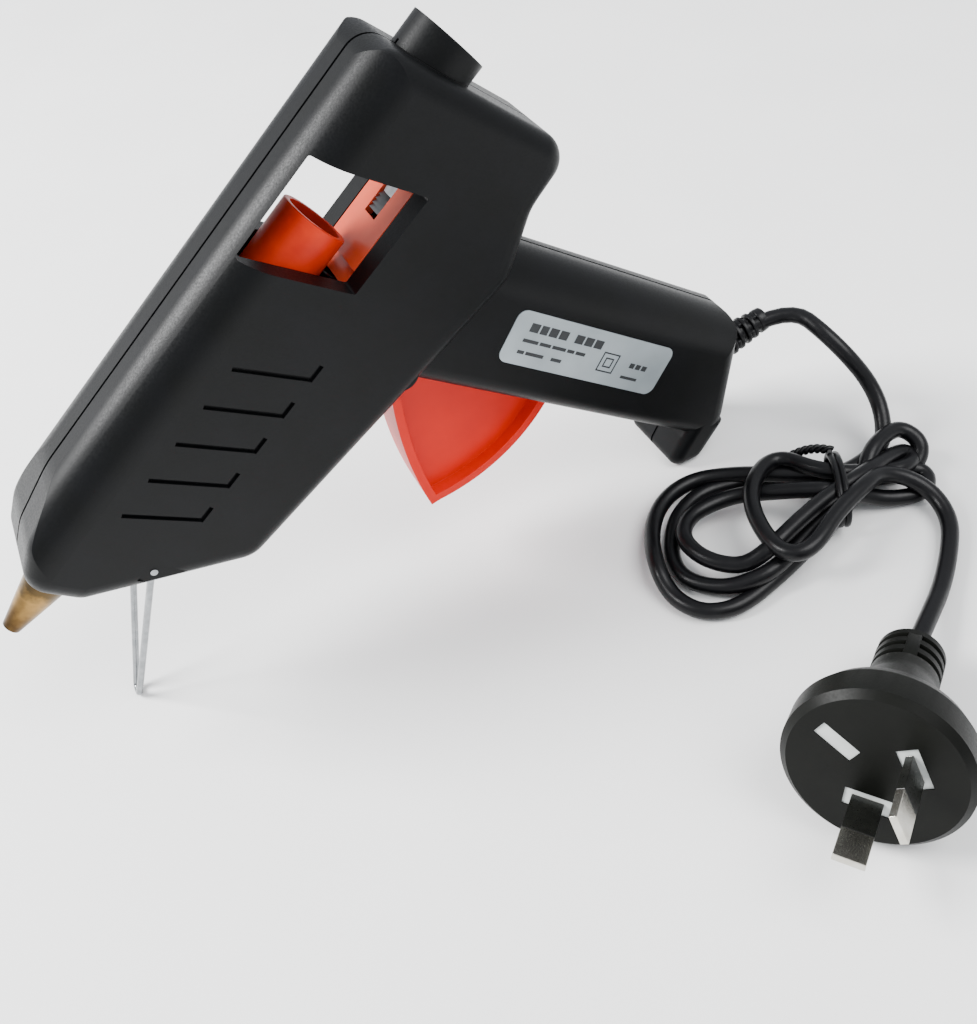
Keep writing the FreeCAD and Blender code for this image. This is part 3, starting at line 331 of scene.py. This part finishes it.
class Finishes(Enum):
    """Every finish of the gun, its cord and its plug."""

    # Black ABS from a spark-eroded mould: a fine satin grain, drawn at 0.45 mm so that it shows.
    SHELL = Finish("moulded_black_abs", "#0a0b0d", "#070808", 0.4, ior=1.52, mottle_mm=9, grain_mm=0.45,
                   grain_depth_mm=0.014, gloss_spread=0.14, specular=0.12)
    # Soft PVC extrusion: smooth, faintly uneven along its length, a dull greasy shine.
    CORD = Finish("extruded_black_pvc", "#0b0b0d", "#070709", 0.34, ior=1.53, mottle_mm=5, grain_mm=0.9,
                  grain_depth_mm=0.02, specular=0.2)
    # Injection-moulded PVC of the plug: slightly olive, duller than the shells.
    PLUG = Finish("moulded_plug_pvc", "#0c0d0a", "#080907", 0.42, ior=1.52, mottle_mm=8, grain_mm=0.5,
                  grain_depth_mm=0.012, specular=0.1)
    # Metallised polyester film: a soft grey sheen, whiter where it faces the light.
    FILM = Finish("satin_silver_film", "#a9b2b6", "#939ca0", 0.36, metallic=0.35, mottle_mm=14,
                  grain_mm=0.3, grain_depth_mm=0.004)
    # Screen-printed ink: flat, dull and nearly black against the film.
    INK = Finish("screen_printed_ink", "#24272a", "#1b1d20", 0.5, mottle_mm=3, grain_mm=0.3)
    # Silicone rubber, pigmented orange: light goes into its rim and comes out paler.
    SLEEVE = Finish("orange_silicone", "#d93000", "#c42200", 0.42, ior=1.41, mottle_mm=5, grain_mm=0.6,
                    grain_depth_mm=0.006, scatter=0.25, scatter_mm=2.0, specular=0.3)
    # Polypropylene from a polished mould: a saturated orange-red with a soft broad shine.
    TRIGGER = Finish("orange_red_polypropylene", "#d41a04", "#c81503", 0.36, ior=1.49, mottle_mm=12,
                     grain_mm=0.5, grain_depth_mm=0.006, scatter=0.05, scatter_mm=1.5, specular=0.22)
    # Moulded acetal: paler than the trigger and glossy, so the window shows a clear reflection.
    CARRIAGE = Finish("salmon_acetal", "#dc5a3c", "#d04a2c", 0.2, ior=1.48, mottle_mm=10, grain_mm=0.6,
                      grain_depth_mm=0.004, scatter=0.15, scatter_mm=1.5)
    # Drawn steel wire: bright, with a narrow mirror-like streak and a slightly uneven gloss.
    WIRE = Finish("bright_drawn_wire", "#96989a", "#7e8183", 0.2, metallic=1.0, mottle_mm=2, grain_mm=0.2,
                  grain_depth_mm=0.003)
    # Ground steel of pins, springs and the jaw: greyer and softer than the wire.
    STEEL = Finish("ground_steel", "#8f9193", "#7a7c7e", 0.32, metallic=1.0, mottle_mm=3, grain_mm=0.15,
                   grain_depth_mm=0.003)
    # Zinc plating, passivated: a faint yellowish cast over satin grey.
    ZINC = Finish("zinc_plated_steel", "#b8b6ab", "#98968a", 0.35, metallic=1.0, mottle_mm=1.5,
                  grain_mm=0.2, grain_depth_mm=0.004)
    # As-cast aluminium: coarse, pale and dull, its skin drawn at 0.4 mm so that it shows.
    CASTING = Finish("die_cast_aluminium", "#a9abad", "#8d8f92", 0.5, metallic=1.0, mottle_mm=3,
                     grain_mm=0.4, grain_depth_mm=0.03)
    # Pressed and sintered ceramic: dark and almost without shine.
    CERAMIC = Finish("sintered_ceramic", "#4a4b50", "#3b3c40", 0.7, mottle_mm=2, grain_mm=0.15,
                     grain_depth_mm=0.01)
    # Wound polyimide film: amber, with a clear glossy skin.
    AMBER = Finish("polyimide_film", "#c2701c", "#a85a10", 0.2, mottle_mm=4, grain_mm=0.5, coat=0.5)
    # Extruded silicone insulation: cream and satin.
    LEAD = Finish("cream_silicone_lead", "#d8d4c6", "#c8c3b3", 0.5, mottle_mm=3, grain_mm=0.3)
    # Unpigmented moulded nylon: milky, as light goes some way into it.
    NYLON = Finish("natural_nylon", "#e2decf", "#d3cebd", 0.45, mottle_mm=3, grain_mm=0.3, scatter=0.2)
    # Moulded thermoplastic of the plug's inner carrier: pale grey and satin.
    CARRIER = Finish("grey_carrier_plastic", "#c3c7c4", "#b3b7b4", 0.45, mottle_mm=3, grain_mm=0.25,
                     grain_depth_mm=0.006)
    # Plated brass strip: pale and bright, its grain drawn out level with the bench.
    BLADE = Finish("bright_brass_blade", "#cfccc4", "#bdb9ae", 0.24, metallic=1.0, mottle_mm=2,
                   grain_mm=0.12, grain_depth_mm=0.004, stretch=(1.0, 1.0, 4.0))
    # Moulded insulation on the pins: black and a little glossier than the plug.
    BLADE_SKIN = Finish("black_blade_insulation", "#151613", "#0e0f0d", 0.3, mottle_mm=2, grain_mm=0.3,
                        grain_depth_mm=0.004)
    # Turned brass: dark at the tip, warm further back, with fine rings.
    BRASS = TipDarkenedBrass("tip_darkened_brass", "#b39a6b", "#8a7350", 0.33, metallic=1.0, mottle_mm=2)
    # Painted board: matt white, with barely any texture.
    BENCH = Finish("white_bench_board", "#f4f4f3", "#f0f0ef", 0.75, mottle_mm=60, grain_mm=2.0,
                   grain_depth_mm=0.01, gloss_spread=0.04)


class Palette:
    """Builds each finish once and puts it on pieces."""

    def __init__(self) -> None:
        """Start with no material made."""
        self.made: dict[Finishes, bpy.types.Material] = {}

    def put(self, finish: Finishes, *objs: bpy.types.Object) -> list[bpy.types.Object]:
        """Give pieces a finish.

        Args:
            finish: which one.
            objs: the pieces.

        Returns:
            The pieces.
        """
        if finish not in self.made:
            self.made[finish] = finish.value.build()
        for obj in objs:
            obj.data.materials.clear()
            obj.data.materials.append(self.made[finish])
        return list(objs)

    def dress(self, finish: Finishes, *names: str) -> list[bpy.types.Object]:
        """Give CAD nodes a finish and return them."""
        return self.put(finish, *[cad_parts[name] for name in names])


# ------------------------------------------------------------------ camera and light
@dataclass(frozen=True)
class Lamp:
    """A square soft light: its place and side length in metres, and its power in watts."""

    name: str
    place: tuple[float, float, float]
    power: float
    size: float

    def hang(self, aim: Vector) -> None:
        """Hang the lamp.

        Args:
            aim: the place that it points at, in metres.
        """
        data = bpy.data.lights.new(self.name, "AREA")
        data.energy, data.size = self.power, self.size
        holder = bpy.data.objects.new(self.name, data)
        holder.location = self.place
        holder.rotation_mode = "QUATERNION"
        holder.rotation_quaternion = (aim - Vector(self.place)).to_track_quat("-Z", "Y")
        bpy.context.scene.collection.objects.link(holder)


@dataclass
class Studio:
    """The camera, the pale bench and soft light."""

    eye: Vector = field(default_factory=lambda: Vector((-35.5, -202.1, 221.5)) * MM)
    sight: Vector = field(default_factory=lambda: Vector((0.1913, 0.6693, -0.718)))
    up: Vector = field(default_factory=lambda: Vector((0.4203, 0.6052, 0.6761)))
    lens: float = 38.28
    bench_size: float = 6.0
    bench_gap: float = 0.2
    sky: str = "#f3f6fb"
    lit: tuple[float, float, float] = (0.0, 0.0, 0.05)
    key: Lamp = Lamp("key", (-0.8, 0.45, 0.8), 42.0, 0.55)
    fill: Lamp = Lamp("fill", (0.5, -0.5, 1.1), 16.0, 0.8)

    def camera(self) -> None:
        """Set up the camera."""
        data = bpy.data.cameras.new("camera")
        data.lens, data.sensor_width, data.sensor_fit = self.lens, 36.0, "AUTO"
        data.clip_start, data.clip_end = 0.01, 20.0
        holder = bpy.data.objects.new("camera", data)
        right = self.sight.cross(self.up).normalized()
        back = -self.sight.normalized()
        up = back.cross(right)
        turn = Matrix((right, up, back)).transposed().to_4x4()
        holder.matrix_world = Matrix.Translation(self.eye) @ turn
        bpy.context.scene.collection.objects.link(holder)
        bpy.context.scene.camera = holder

    def build(self, palette: Palette) -> list[bpy.types.Object]:
        """Lay the bench and hang the lights.

        Args:
            palette: the finishes.

        Returns:
            The bench.
        """
        bpy.ops.object.select_all(action="DESELECT")
        bpy.ops.mesh.primitive_plane_add(size=self.bench_size, location=(0, 0, -self.bench_gap * MM))
        bench = settle(bpy.context.object, "bench")
        world = bpy.data.worlds.new("soft_daylight")
        bpy.context.scene.world = world
        world.use_nodes = True
        world.node_tree.nodes["Background"].inputs["Color"].default_value = linear(self.sky)
        world.node_tree.nodes["Background"].inputs["Strength"].default_value = 1.0
        for lamp in (self.key, self.fill):
            lamp.hang(Vector(self.lit))
        return palette.put(Finishes.BENCH, bench)


# ------------------------------------------------------------------ the cord
def round_line(points: list[Vector], radius: float, name: str, order: int, steps: int, rounding: int,
               closed: bool = False) -> bpy.types.Object:
    """Draw a round line along control points.

    Args:
        points: control points in metres.
        radius: the line's radius in mm.
        name: the curve's name.
        order: how many points pull on one stretch.
        steps: steps along each stretch.
        rounding: how round the section is, as Blender counts it.
        closed: whether it is a ring.

    Returns:
        The curve.
    """
    data = bpy.data.curves.new(name, "CURVE")
    data.dimensions = "3D"
    spline = data.splines.new("NURBS")
    spline.points.add(len(points) - 1)
    for knot, place in zip(spline.points, points):
        knot.co = (*place, 1.0)
    spline.order_u = order
    spline.use_cyclic_u = closed
    spline.use_endpoint_u = not closed
    spline.resolution_u = steps
    data.bevel_depth = radius * MM
    data.bevel_resolution = rounding
    data.use_fill_caps = not closed
    line = bpy.data.objects.new(name, data)
    bpy.context.scene.collection.objects.link(line)
    return line


@dataclass
class Cord:
    """The whole cord as one curve, from the handle through its tied hank to the plug.

    The length is along its middle line.
    """

    radius: float = 2.2
    length: float = 794.0
    wall: tuple[float, float, float] = (95.08, 0.0, 25.32)
    lead: list[tuple[float, float, float]] = field(default_factory=lambda: [
        (119.6, 0.6, 30.6), (122.4, -19.0, 27.0), (129.4, -28.6, 13.0), (124, -40, 6.5), (116, -43, 6.5)])
    first_loop: list[tuple[float, float, float]] = field(default_factory=lambda: [
        (107, -44, 6.5), (100, -40, 6.5), (92, -33, 6), (83, -25, 4.5), (74, -21, 4), (64, -23, 4),
        (56, -30, 3.5), (50, -42, 6.0), (49, -50, 2.4), (51, -57, 2.2), (55, -61, 2.2), (62, -63, 2.2),
        (76, -60, 2.4), (89, -56, 3), (100, -52, 2.4)])
    first_return: list[tuple[float, float, float]] = field(default_factory=lambda: [
        (109, -49, 6.5), (115, -44, 10.5), (123, -41, 10), (128, -41, 9), (130, -46, 7), (128, -49, 4),
        (123, -50, 2.4), (115, -47, 2.4)])
    second_loop: list[tuple[float, float, float]] = field(default_factory=lambda: [
        (107, -43, 2.4), (100, -38, 2.4), (92, -31, 2.4), (83, -27, 2.2), (75, -25, 2.2), (66, -28, 2.2),
        (60, -34, 2.2), (55, -42, 2.2), (55, -49, 2.4), (59, -55, 3), (64, -59, 4.5), (73, -61, 6.5),
        (86, -56, 6.8), (99, -52, 6.8)])
    second_return: list[tuple[float, float, float]] = field(default_factory=lambda: [
        (111, -49, 6.8), (120, -49, 4.5), (126, -51, 3), (126, -55, 2.2), (121, -58, 2.2), (113, -55, 2.4),
        (107, -52, 5)])
    third_loop: list[tuple[float, float, float]] = field(default_factory=lambda: [
        (98, -50, 10.8), (93, -45, 9.5), (87, -40, 8), (81, -35, 6.5), (73, -33, 6), (65, -34, 6.3),
        (60, -39, 6.5), (60, -46, 6.5), (63, -52, 6.5), (68, -56, 6.6), (75, -57, 10.4), (85, -54, 10.8),
        (97, -51, 10.8)])
    third_return: list[tuple[float, float, float]] = field(default_factory=lambda: [
        (108, -50, 10.8), (120, -46, 7), (126, -45, 5), (126, -49, 4.5), (119, -51, 6.5), (113, -48, 6.8)])
    front_loop: list[tuple[float, float, float]] = field(default_factory=lambda: [
        (103, -46, 10.8), (99, -40, 10), (97, -33, 9), (92, -31, 9), (84, -36, 10.6), (79, -42, 11),
        (76, -50, 11), (75, -59, 11), (78, -63.5, 11.5), (84, -63, 12), (93, -58, 12.3)])
    tail: list[tuple[float, float, float]] = field(default_factory=lambda: [
        (105, -54, 12), (112, -51.5, 9.8), (118, -54, 7.5), (122, -60.5, 4.6), (120.5, -69, 2.4),
        (113, -77, 2.3), (104, -84.5, 2.4), (95, -90.4, 4.6)])
    neck: tuple[float, float, float] = (83.3, -97.81, 6.68)

    def route(self) -> list[Vector]:
        """Give the cord's control points, in metres.

        Returns:
            The points from the wall of the handle to the plug's neck.
        """
        points = [self.wall] + self.lead + self.first_loop + self.first_return + self.second_loop
        points += self.second_return + self.third_loop + self.third_return + self.front_loop
        points += self.tail + [self.neck]
        return [Vector(p) * MM for p in points]

    def build(self, palette: Palette, pieces: list[bpy.types.Object]) -> list[bpy.types.Object]:
        """Lay the cord.

        Args:
            palette: the finishes.
            pieces: what is on the cord; not used.

        Returns:
            The cord's curve.
        """
        cord = round_line(self.route(), self.radius, "cord", order=3, steps=8, rounding=5)
        palette.put(Finishes.CORD, cord)
        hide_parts("cord_lead", "cord_hank", "cord_tail")
        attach(cord, "housing")
        return [cord]


# ------------------------------------------------------------------ pieces on the cord
def grow(stations: list[tuple[float, float]], sides: int) -> bpy.types.Object:
    """Draw a round piece up from a disc by extruding and scaling its end.

    Args:
        stations: heights and radii in mm, from the bottom up.
        sides: vertices round it.

    Returns:
        The piece, along +Z.
    """
    bpy.ops.object.select_all(action="DESELECT")
    low, wide = stations[0]
    bpy.ops.mesh.primitive_circle_add(vertices=sides, radius=wide * MM, fill_type="NGON",
                                      location=(0, 0, low * MM))
    piece = bpy.context.object
    bpy.ops.object.transform_apply(location=True)
    bpy.ops.object.mode_set(mode="EDIT")
    bpy.ops.mesh.select_all(action="SELECT")
    for height, radius in stations[1:]:
        bpy.ops.mesh.extrude_region_move(TRANSFORM_OT_translate={"value": (0, 0, (height - low) * MM)})
        bpy.ops.transform.resize(value=(radius / wide, radius / wide, 1),
                                 center_override=(0, 0, height * MM))
        low, wide = height, radius
    bpy.ops.object.mode_set(mode="OBJECT")
    outward(piece)
    return piece


def bar(size: tuple[float, float, float], centre: tuple[float, float, float],
        rounding: float) -> bpy.types.Object:
    """Add a block with rounded edges.

    Args:
        size: its sides in mm.
        centre: its middle in mm.
        rounding: width of the rounding in mm.

    Returns:
        The block.
    """
    bpy.ops.object.select_all(action="DESELECT")
    bpy.ops.mesh.primitive_cube_add(size=1, location=Vector(centre) * MM)
    block = bpy.context.object
    block.scale = Vector(size) * MM
    bpy.ops.object.transform_apply(location=True, rotation=True, scale=True)
    bpy.ops.object.mode_set(mode="EDIT")
    bpy.ops.mesh.select_all(action="SELECT")
    bpy.ops.mesh.bevel(offset=rounding * MM, segments=2, affect="EDGES")
    bpy.ops.object.mode_set(mode="OBJECT")
    return block


def join(parts: list[bpy.types.Object], place: Matrix, name: str) -> bpy.types.Object:
    """Join parts into one piece and set it in its place.

    Args:
        parts: the parts, drawn at the origin.
        place: where they go.
        name: the piece's name.

    Returns:
        The piece.
    """
    select_only(*parts)
    if len(parts) > 1:
        bpy.ops.object.join()
    piece = bpy.context.object
    piece.matrix_world = place
    return settle(piece, name)


def tube(points: list[Vector], radius: float, name: str, closed: bool = False) -> bpy.types.Object:
    """Bend a round wire along points and make it a mesh.

    Args:
        points: control points in metres.
        radius: the wire's radius in mm.
        name: the piece's name.
        closed: whether it is a ring.

    Returns:
        The piece.
    """
    select_only(round_line(points, radius, name, order=4, steps=4, rounding=3, closed=closed))
    bpy.ops.object.convert(target="MESH")
    made = bpy.context.object
    outward(made)
    return made


@dataclass
class StrainRelief:
    """The ribbed boot where the cord leaves the handle, with slots that change sides."""

    place: tuple[float, float, float] = (95.08, 0.0, 25.32)
    climb: float = math.radians(9.8)
    out: float = 18.0
    base: float = 4.9
    tip: float = 3.3
    tip_rounding: float = 0.5
    seat_depth: float = 2.0
    seat_step: float = 0.8
    collar: float = 1.6
    plain: float = 3.4
    ribs: int = 6
    first_rib: float = 1.8
    rib_flank: float = 0.15
    slot_depth: float = 1.15
    slot_root_least: float = 2.35
    web_size: tuple[float, float] = (1.7, 2.6)
    web_inset: float = 0.9
    web_rounding: float = 0.2
    edge_rounding: float = 0.12
    sides: int = 40

    def rib_radius(self, count: int) -> float:
        """Give one rib's radius, as the boot narrows from its base to its tip."""
        return self.base + (self.tip - self.base) * (count + 0.5) / self.ribs

    def outline(self, pitch: float) -> list[tuple[float, float]]:
        """Give the boot's stations, from the seat in the wall to the tip.

        Args:
            pitch: distance from one rib to the next.

        Returns:
            Heights and radii.
        """
        seat = self.base - self.seat_step
        stations = [(-self.seat_depth, seat), (-0.1, seat), (-0.1, self.base), (self.collar, self.base)]
        for count in range(self.ribs):
            start, wide = self.first_rib + count * pitch, self.rib_radius(count)
            root = max(wide - self.slot_depth, self.slot_root_least)
            stations += [(start, wide), (start + self.rib_flank, root), (start + pitch * 0.5, root),
                         (start + pitch * 0.5 + self.rib_flank, wide), (start + pitch - 0.1, wide)]
        return stations + [(self.out - 0.4, self.tip), (self.out, self.tip - self.tip_rounding)]

    def webs(self, pitch: float) -> list[bpy.types.Object]:
        """Make the webs that bridge each slot, at the sides of one and above and below the next.

        Args:
            pitch: distance from one rib to the next.

        Returns:
            The webs, two to a slot.
        """
        thick, wide = self.web_size
        made = []
        for count in range(self.ribs):
            offset = self.rib_radius(count) - self.web_inset
            height, tall = self.first_rib + (count + 0.25) * pitch, pitch * 0.6
            for side in (-offset, offset):
                if count % 2 == 0:
                    made.append(bar((thick, wide, tall), (side, 0, height), self.web_rounding))
                else:
                    made.append(bar((wide, thick, tall), (0, side, height), self.web_rounding))
        return made

    def build(self, palette: Palette) -> list[bpy.types.Object]:
        """Mould the boot.

        Args:
            palette: the finishes.

        Returns:
            The boot.
        """
        pitch = (self.out - self.plain) / self.ribs
        webs = self.webs(pitch)
        ribbed = grow(self.outline(pitch), self.sides)
        axis = Vector((math.cos(self.climb), 0, math.sin(self.climb)))
        turn = axis.to_track_quat("Z", "Y").to_matrix().to_4x4()
        place = Matrix.Translation(Vector(self.place) * MM) @ turn
        boot = join([ribbed] + webs, place, "strain_relief_boot")
        apply_modifier(boot, "BEVEL", width=self.edge_rounding * MM, segments=2, limit_method="ANGLE",
                       angle_limit=math.radians(40))
        smooth(boot, 40)
        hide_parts("strain_relief")
        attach(boot, "housing")
        return palette.put(Finishes.CORD, boot)


@dataclass
class CordTie:
    """A coated wire tie: two turns round the waist of the hank, and its ends twisted together."""

    middle: tuple[float, float, float] = (101.6, -48.2, 7.45)
    lean: float = math.radians(62.0)
    half_width: float = 11.55
    half_height: float = 6.656
    radius: float = 0.9
    gap: float = 1.5
    points_round: int = 12
    twist_from: tuple[float, float, float] = (105.6, -40.0, 12.6)
    twist_over: tuple[float, float, float] = (102.6, -33.6, 11.4)
    twist_to: tuple[float, float, float] = (97.6, -31.2, 6.6)
    twist_turns: int = 4
    twist_radius: float = 0.75
    strand_radius: float = 0.7

    def turn_points(self, shift: float) -> list[Vector]:
        """Give the points of one turn.

        Args:
            shift: how far it sits along the hank.

        Returns:
            The points in metres.
        """
        across = Vector((math.cos(self.lean), math.sin(self.lean), 0))
        along = Vector((math.sin(self.lean), -math.cos(self.lean), 0))
        points = []
        for step in range(self.points_round):
            angle = 2 * math.pi * step / self.points_round
            flat = across * (self.half_width * math.cos(angle)) + along * shift
            rise = Vector((0, 0, self.half_height * math.sin(angle)))
            points.append((Vector(self.middle) + flat + rise) * MM)
        return points

    def twisted_ends(self) -> list[bpy.types.Object]:
        """Twist the two free ends round each other.

        Returns:
            The two strands.
        """
        start, bend, end = Vector(self.twist_from), Vector(self.twist_over), Vector(self.twist_to)
        steps = self.twist_turns * 6
        strands = []
        for phase in (0.0, math.pi):
            points = []
            for step in range(steps + 1):
                t = step / steps
                place = start * (1 - t) ** 2 + bend * (2 * t * (1 - t)) + end * t ** 2
                ahead = (bend - start) * (1 - t) + (end - bend) * t
                side = ahead.cross(Vector((0, 0, 1))).normalized()
                over = side.cross(ahead).normalized()
                angle = phase + 2 * math.pi * self.twist_turns * t
                swing = (side * math.cos(angle) + over * math.sin(angle)) * self.twist_radius
                points.append((place + swing) * MM)
            strands.append(tube(points, self.strand_radius, "tie_strand"))
        return strands

    def build(self, palette: Palette) -> list[bpy.types.Object]:
        """Wind the tie.

        Args:
            palette: the finishes.

        Returns:
            The tie.
        """
        parts = [tube(self.turn_points(shift), self.radius, "tie_turn", closed=True)
                 for shift in (-self.gap / 2, self.gap / 2)]
        tie = join(parts + self.twisted_ends(), Matrix.Identity(4), "twisted_tie")
        smooth(tie, 50)
        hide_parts("cord_tie")
        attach(tie, "housing")
        return palette.put(Finishes.CORD, tie)


@dataclass
class Plug:
    """The flat-pin plug, lying on its rim and its neck with the pins up."""

    face: tuple[float, float] = (51.1, -122.7)
    heading: float = math.radians(217.7)
    rim: float = 19.0
    rim_back: float = 8.0
    neck: float = 7.4
    neck_edge: float = 1.0
    length: float = 43.0
    groove_start: float = -40.6
    groove_run: float = 8.4
    spine: tuple[float, float] = (3.0, 2.0)
    spine_rounding: float = 0.35
    cover_rounding: float = 0.5
    pin_rounding: float = 0.22
    skin_rounding: float = 0.12

    def place(self) -> Matrix:
        """Give the plug's place.

        Returns:
            Its matrix, with local +X out of the face.
        """
        lean = math.atan2(self.rim - self.neck, self.length - self.neck_edge - self.rim_back)
        height = self.rim * math.cos(lean) + self.rim_back * math.sin(lean)
        return (Matrix.Translation(Vector((*self.face, height)) * MM)
                @ Matrix.Rotation(self.heading, 4, "Z") @ Matrix.Rotation(-lean, 4, "Y"))

    def build(self, palette: Palette) -> list[bpy.types.Object]:
        """Finish the plug.

        Args:
            palette: the finishes.

        Returns:
            Its pieces.
        """
        cover = softened("plug_body", self.cover_rounding, "plug_cover", "housing", segments=3)
        spines = self.neck_spines()
        pins = softened("plug_blades", self.pin_rounding, "plug_pins", "housing")
        skins = softened("blade_sleeves", self.skin_rounding, "pin_skins", "housing", segments=1)
        return (palette.put(Finishes.PLUG, cover, spines) + palette.put(Finishes.BLADE, pins)
                + palette.put(Finishes.BLADE_SKIN, skins) + palette.dress(Finishes.CARRIER, "pin_carrier"))

    def neck_spines(self) -> bpy.types.Object:
        """Make the four spines along the grooved neck, a quarter turn apart.

        Returns:
            The spines as one piece.
        """
        wide, deep = self.spine
        middle = (self.groove_start + self.groove_run / 2, 0, self.neck - deep / 2)
        runs = []
        for quarter in range(4):
            run = bar((self.groove_run, wide, deep), middle, self.spine_rounding)
            run.matrix_world = Matrix.Rotation(quarter * math.pi / 2, 4, "X")
            select_only(run)
            bpy.ops.object.transform_apply(location=True, rotation=True)
            runs.append(run)
        spines = join(runs, self.place(), "plug_neck_spines")
        smooth(spines, 40)
        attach(spines, "housing")
        return spines


# ------------------------------------------------------------------ the gun's own pieces
@dataclass
class RatingLabel:
    """The film on the handle, with rows of plain printed bars and a double square."""

    centre: tuple[float, float] = (131.0, -74.3)
    slope: float = 0.2923
    side: float = -12.3
    length: float = 50.4
    width: float = 13.8
    ink: float = 0.02
    ink_lift: float = 0.005
    ink_rounding: float = 0.006
    bar_gap: float = 0.5
    blank: float = 1.4
    square_line: float = 0.4
    # Each row: where it starts, its height on the film, its bars' thickness, and their widths, 0 a blank.
    rows: list[tuple[float, float, float, list[float]]] = field(default_factory=lambda: [
        (-20.4, 3.1, 2.3, [2.6, 2.2, 2.6, 2.6, 0.0, 2.6, 2.6, 2.6]),
        (-20.8, -0.4, 0.9, [4.6, 3.4, 4.2, 2.2, 3.0]),
        (-20.8, -3.5, 0.9, [2.0, 5.4, 0.0, 3.2]),
        (13.6, -0.2, 1.4, [1.6, 1.6, 1.6]),
        (12.6, -3.7, 0.8, [5.6])])
    squares: tuple[float, float] = (5.4, 2.7)
    square_at: tuple[float, float] = (6.6, -0.9)

    def place(self) -> Matrix:
        """Give the label's place.

        Returns:
            Its matrix, with local +X down the handle, +Y to its back and +Z out of the face.
        """
        down = BARREL.heading(self.slope, -1.0)
        back = BARREL.heading(1.0, self.slope)
        out = down.cross(back)
        turn = Matrix((down, back, out)).transposed().to_4x4()
        return Matrix.Translation(BARREL.point(*self.centre, self.side)) @ turn

    def patch(self, x: float, y: float, wide: float, high: float) -> bpy.types.Object:
        """Print one bar."""
        return bar((wide, high, self.ink), (x, y, self.ink / 2 + self.ink_lift), self.ink_rounding)

    def frame_bars(self, x: float, y: float, size: float, line: float) -> list[bpy.types.Object]:
        """Print the four sides of a square.

        Args:
            x: its middle down the handle.
            y: its middle across the film.
            size: its outer side.
            line: the width of its line.

        Returns:
            The four bars.
        """
        half, inner = (size - line) / 2, size - 2 * line
        return [self.patch(x, y + half, size, line), self.patch(x, y - half, size, line),
                self.patch(x + half, y, line, inner), self.patch(x - half, y, line, inner)]

    def build(self, palette: Palette) -> list[bpy.types.Object]:
        """Print the label.

        Args:
            palette: the finishes.

        Returns:
            The print and the film.
        """
        bars = []
        for start, height, thick, widths in self.rows:
            x = start
            for wide in widths:
                if wide:
                    bars.append(self.patch(x + wide / 2, height, wide, thick))
                x += (wide or self.blank) + self.bar_gap
        for size in self.squares:
            bars += self.frame_bars(*self.square_at, size, self.square_line)
        ink = join(bars, self.place(), "label_print")
        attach(ink, "housing")
        return palette.put(Finishes.INK, ink) + palette.dress(Finishes.FILM, "rating_label")


@dataclass
class Housing:
    """The two shells, what is fixed in them, and the sleeve at their back."""

    sleeve_rounding: float = 0.35
    dressed: dict[Finishes, tuple[str, ...]] = field(default_factory=lambda: {
        Finishes.SHELL: ("left_shell", "right_shell", "cord_clamp"),
        Finishes.ZINC: ("shell_screws", "clamp_screws", "sleeve_clamp"),
        Finishes.BRASS: ("nozzle",),
        Finishes.STEEL: ("check_ball", "check_spring", "trigger_pivot_pin", "return_spring",
                         "heater_clamp_spring"),
        Finishes.CASTING: ("melt_chamber",),
        Finishes.CERAMIC: ("heater_element",),
        Finishes.AMBER: ("heater_insulation",),
        Finishes.CORD: ("inner_cord",),
        Finishes.LEAD: ("cord_cores", "lead_wires"),
        Finishes.NYLON: ("crimp_connectors",)})

    def build(self, palette: Palette) -> list[bpy.types.Object]:
        """Dress the shells and the fixed parts, and finish the sleeve.

        Args:
            palette: the finishes.

        Returns:
            All of them.
        """
        pieces = []
        for finish, names in self.dressed.items():
            pieces += palette.dress(finish, *names)
        sleeve = softened("inlet_sleeve", self.sleeve_rounding, "silicone_sleeve", "housing")
        return pieces + palette.put(Finishes.SLEEVE, sleeve)


@dataclass
class Feed:
    """The trigger, the carriage that it drives, the jaw that grips the stick, and the wire stand."""

    trigger_rounding: float = 0.7
    block_rounding: float = 0.3

    def build(self, palette: Palette) -> list[bpy.types.Object]:
        """Finish the moving parts.

        Args:
            palette: the finishes.

        Returns:
            The moving parts.
        """
        trigger = softened("trigger", self.trigger_rounding, "trigger_lever", "trigger", segments=3)
        block = softened("feed_carriage", self.block_rounding, "feed_slide_block", "carriage")
        return (palette.put(Finishes.TRIGGER, trigger) + palette.put(Finishes.CARRIAGE, block)
                + palette.dress(Finishes.STEEL, "drive_pin", "jaw_pin", "gripper_jaw")
                + palette.dress(Finishes.WIRE, "wire_stand"))


def main() -> None:
    """Build the studio, the cord and every piece, in order."""
    logging.basicConfig(level=logging.INFO)
    palette = Palette()
    studio = Studio()
    studio.camera()
    on_cord = []
    for part in (StrainRelief(), CordTie(), Plug()):
        on_cord += part.build(palette)
    pieces = on_cord + Cord().build(palette, on_cord) + studio.build(palette)
    for part in (RatingLabel(), Housing(), Feed()):
        pieces += part.build(palette)
    for piece in pieces:
        LOG.info("%s in %s", piece.name, piece.active_material.name)


if __name__ == "__main__":
    main()
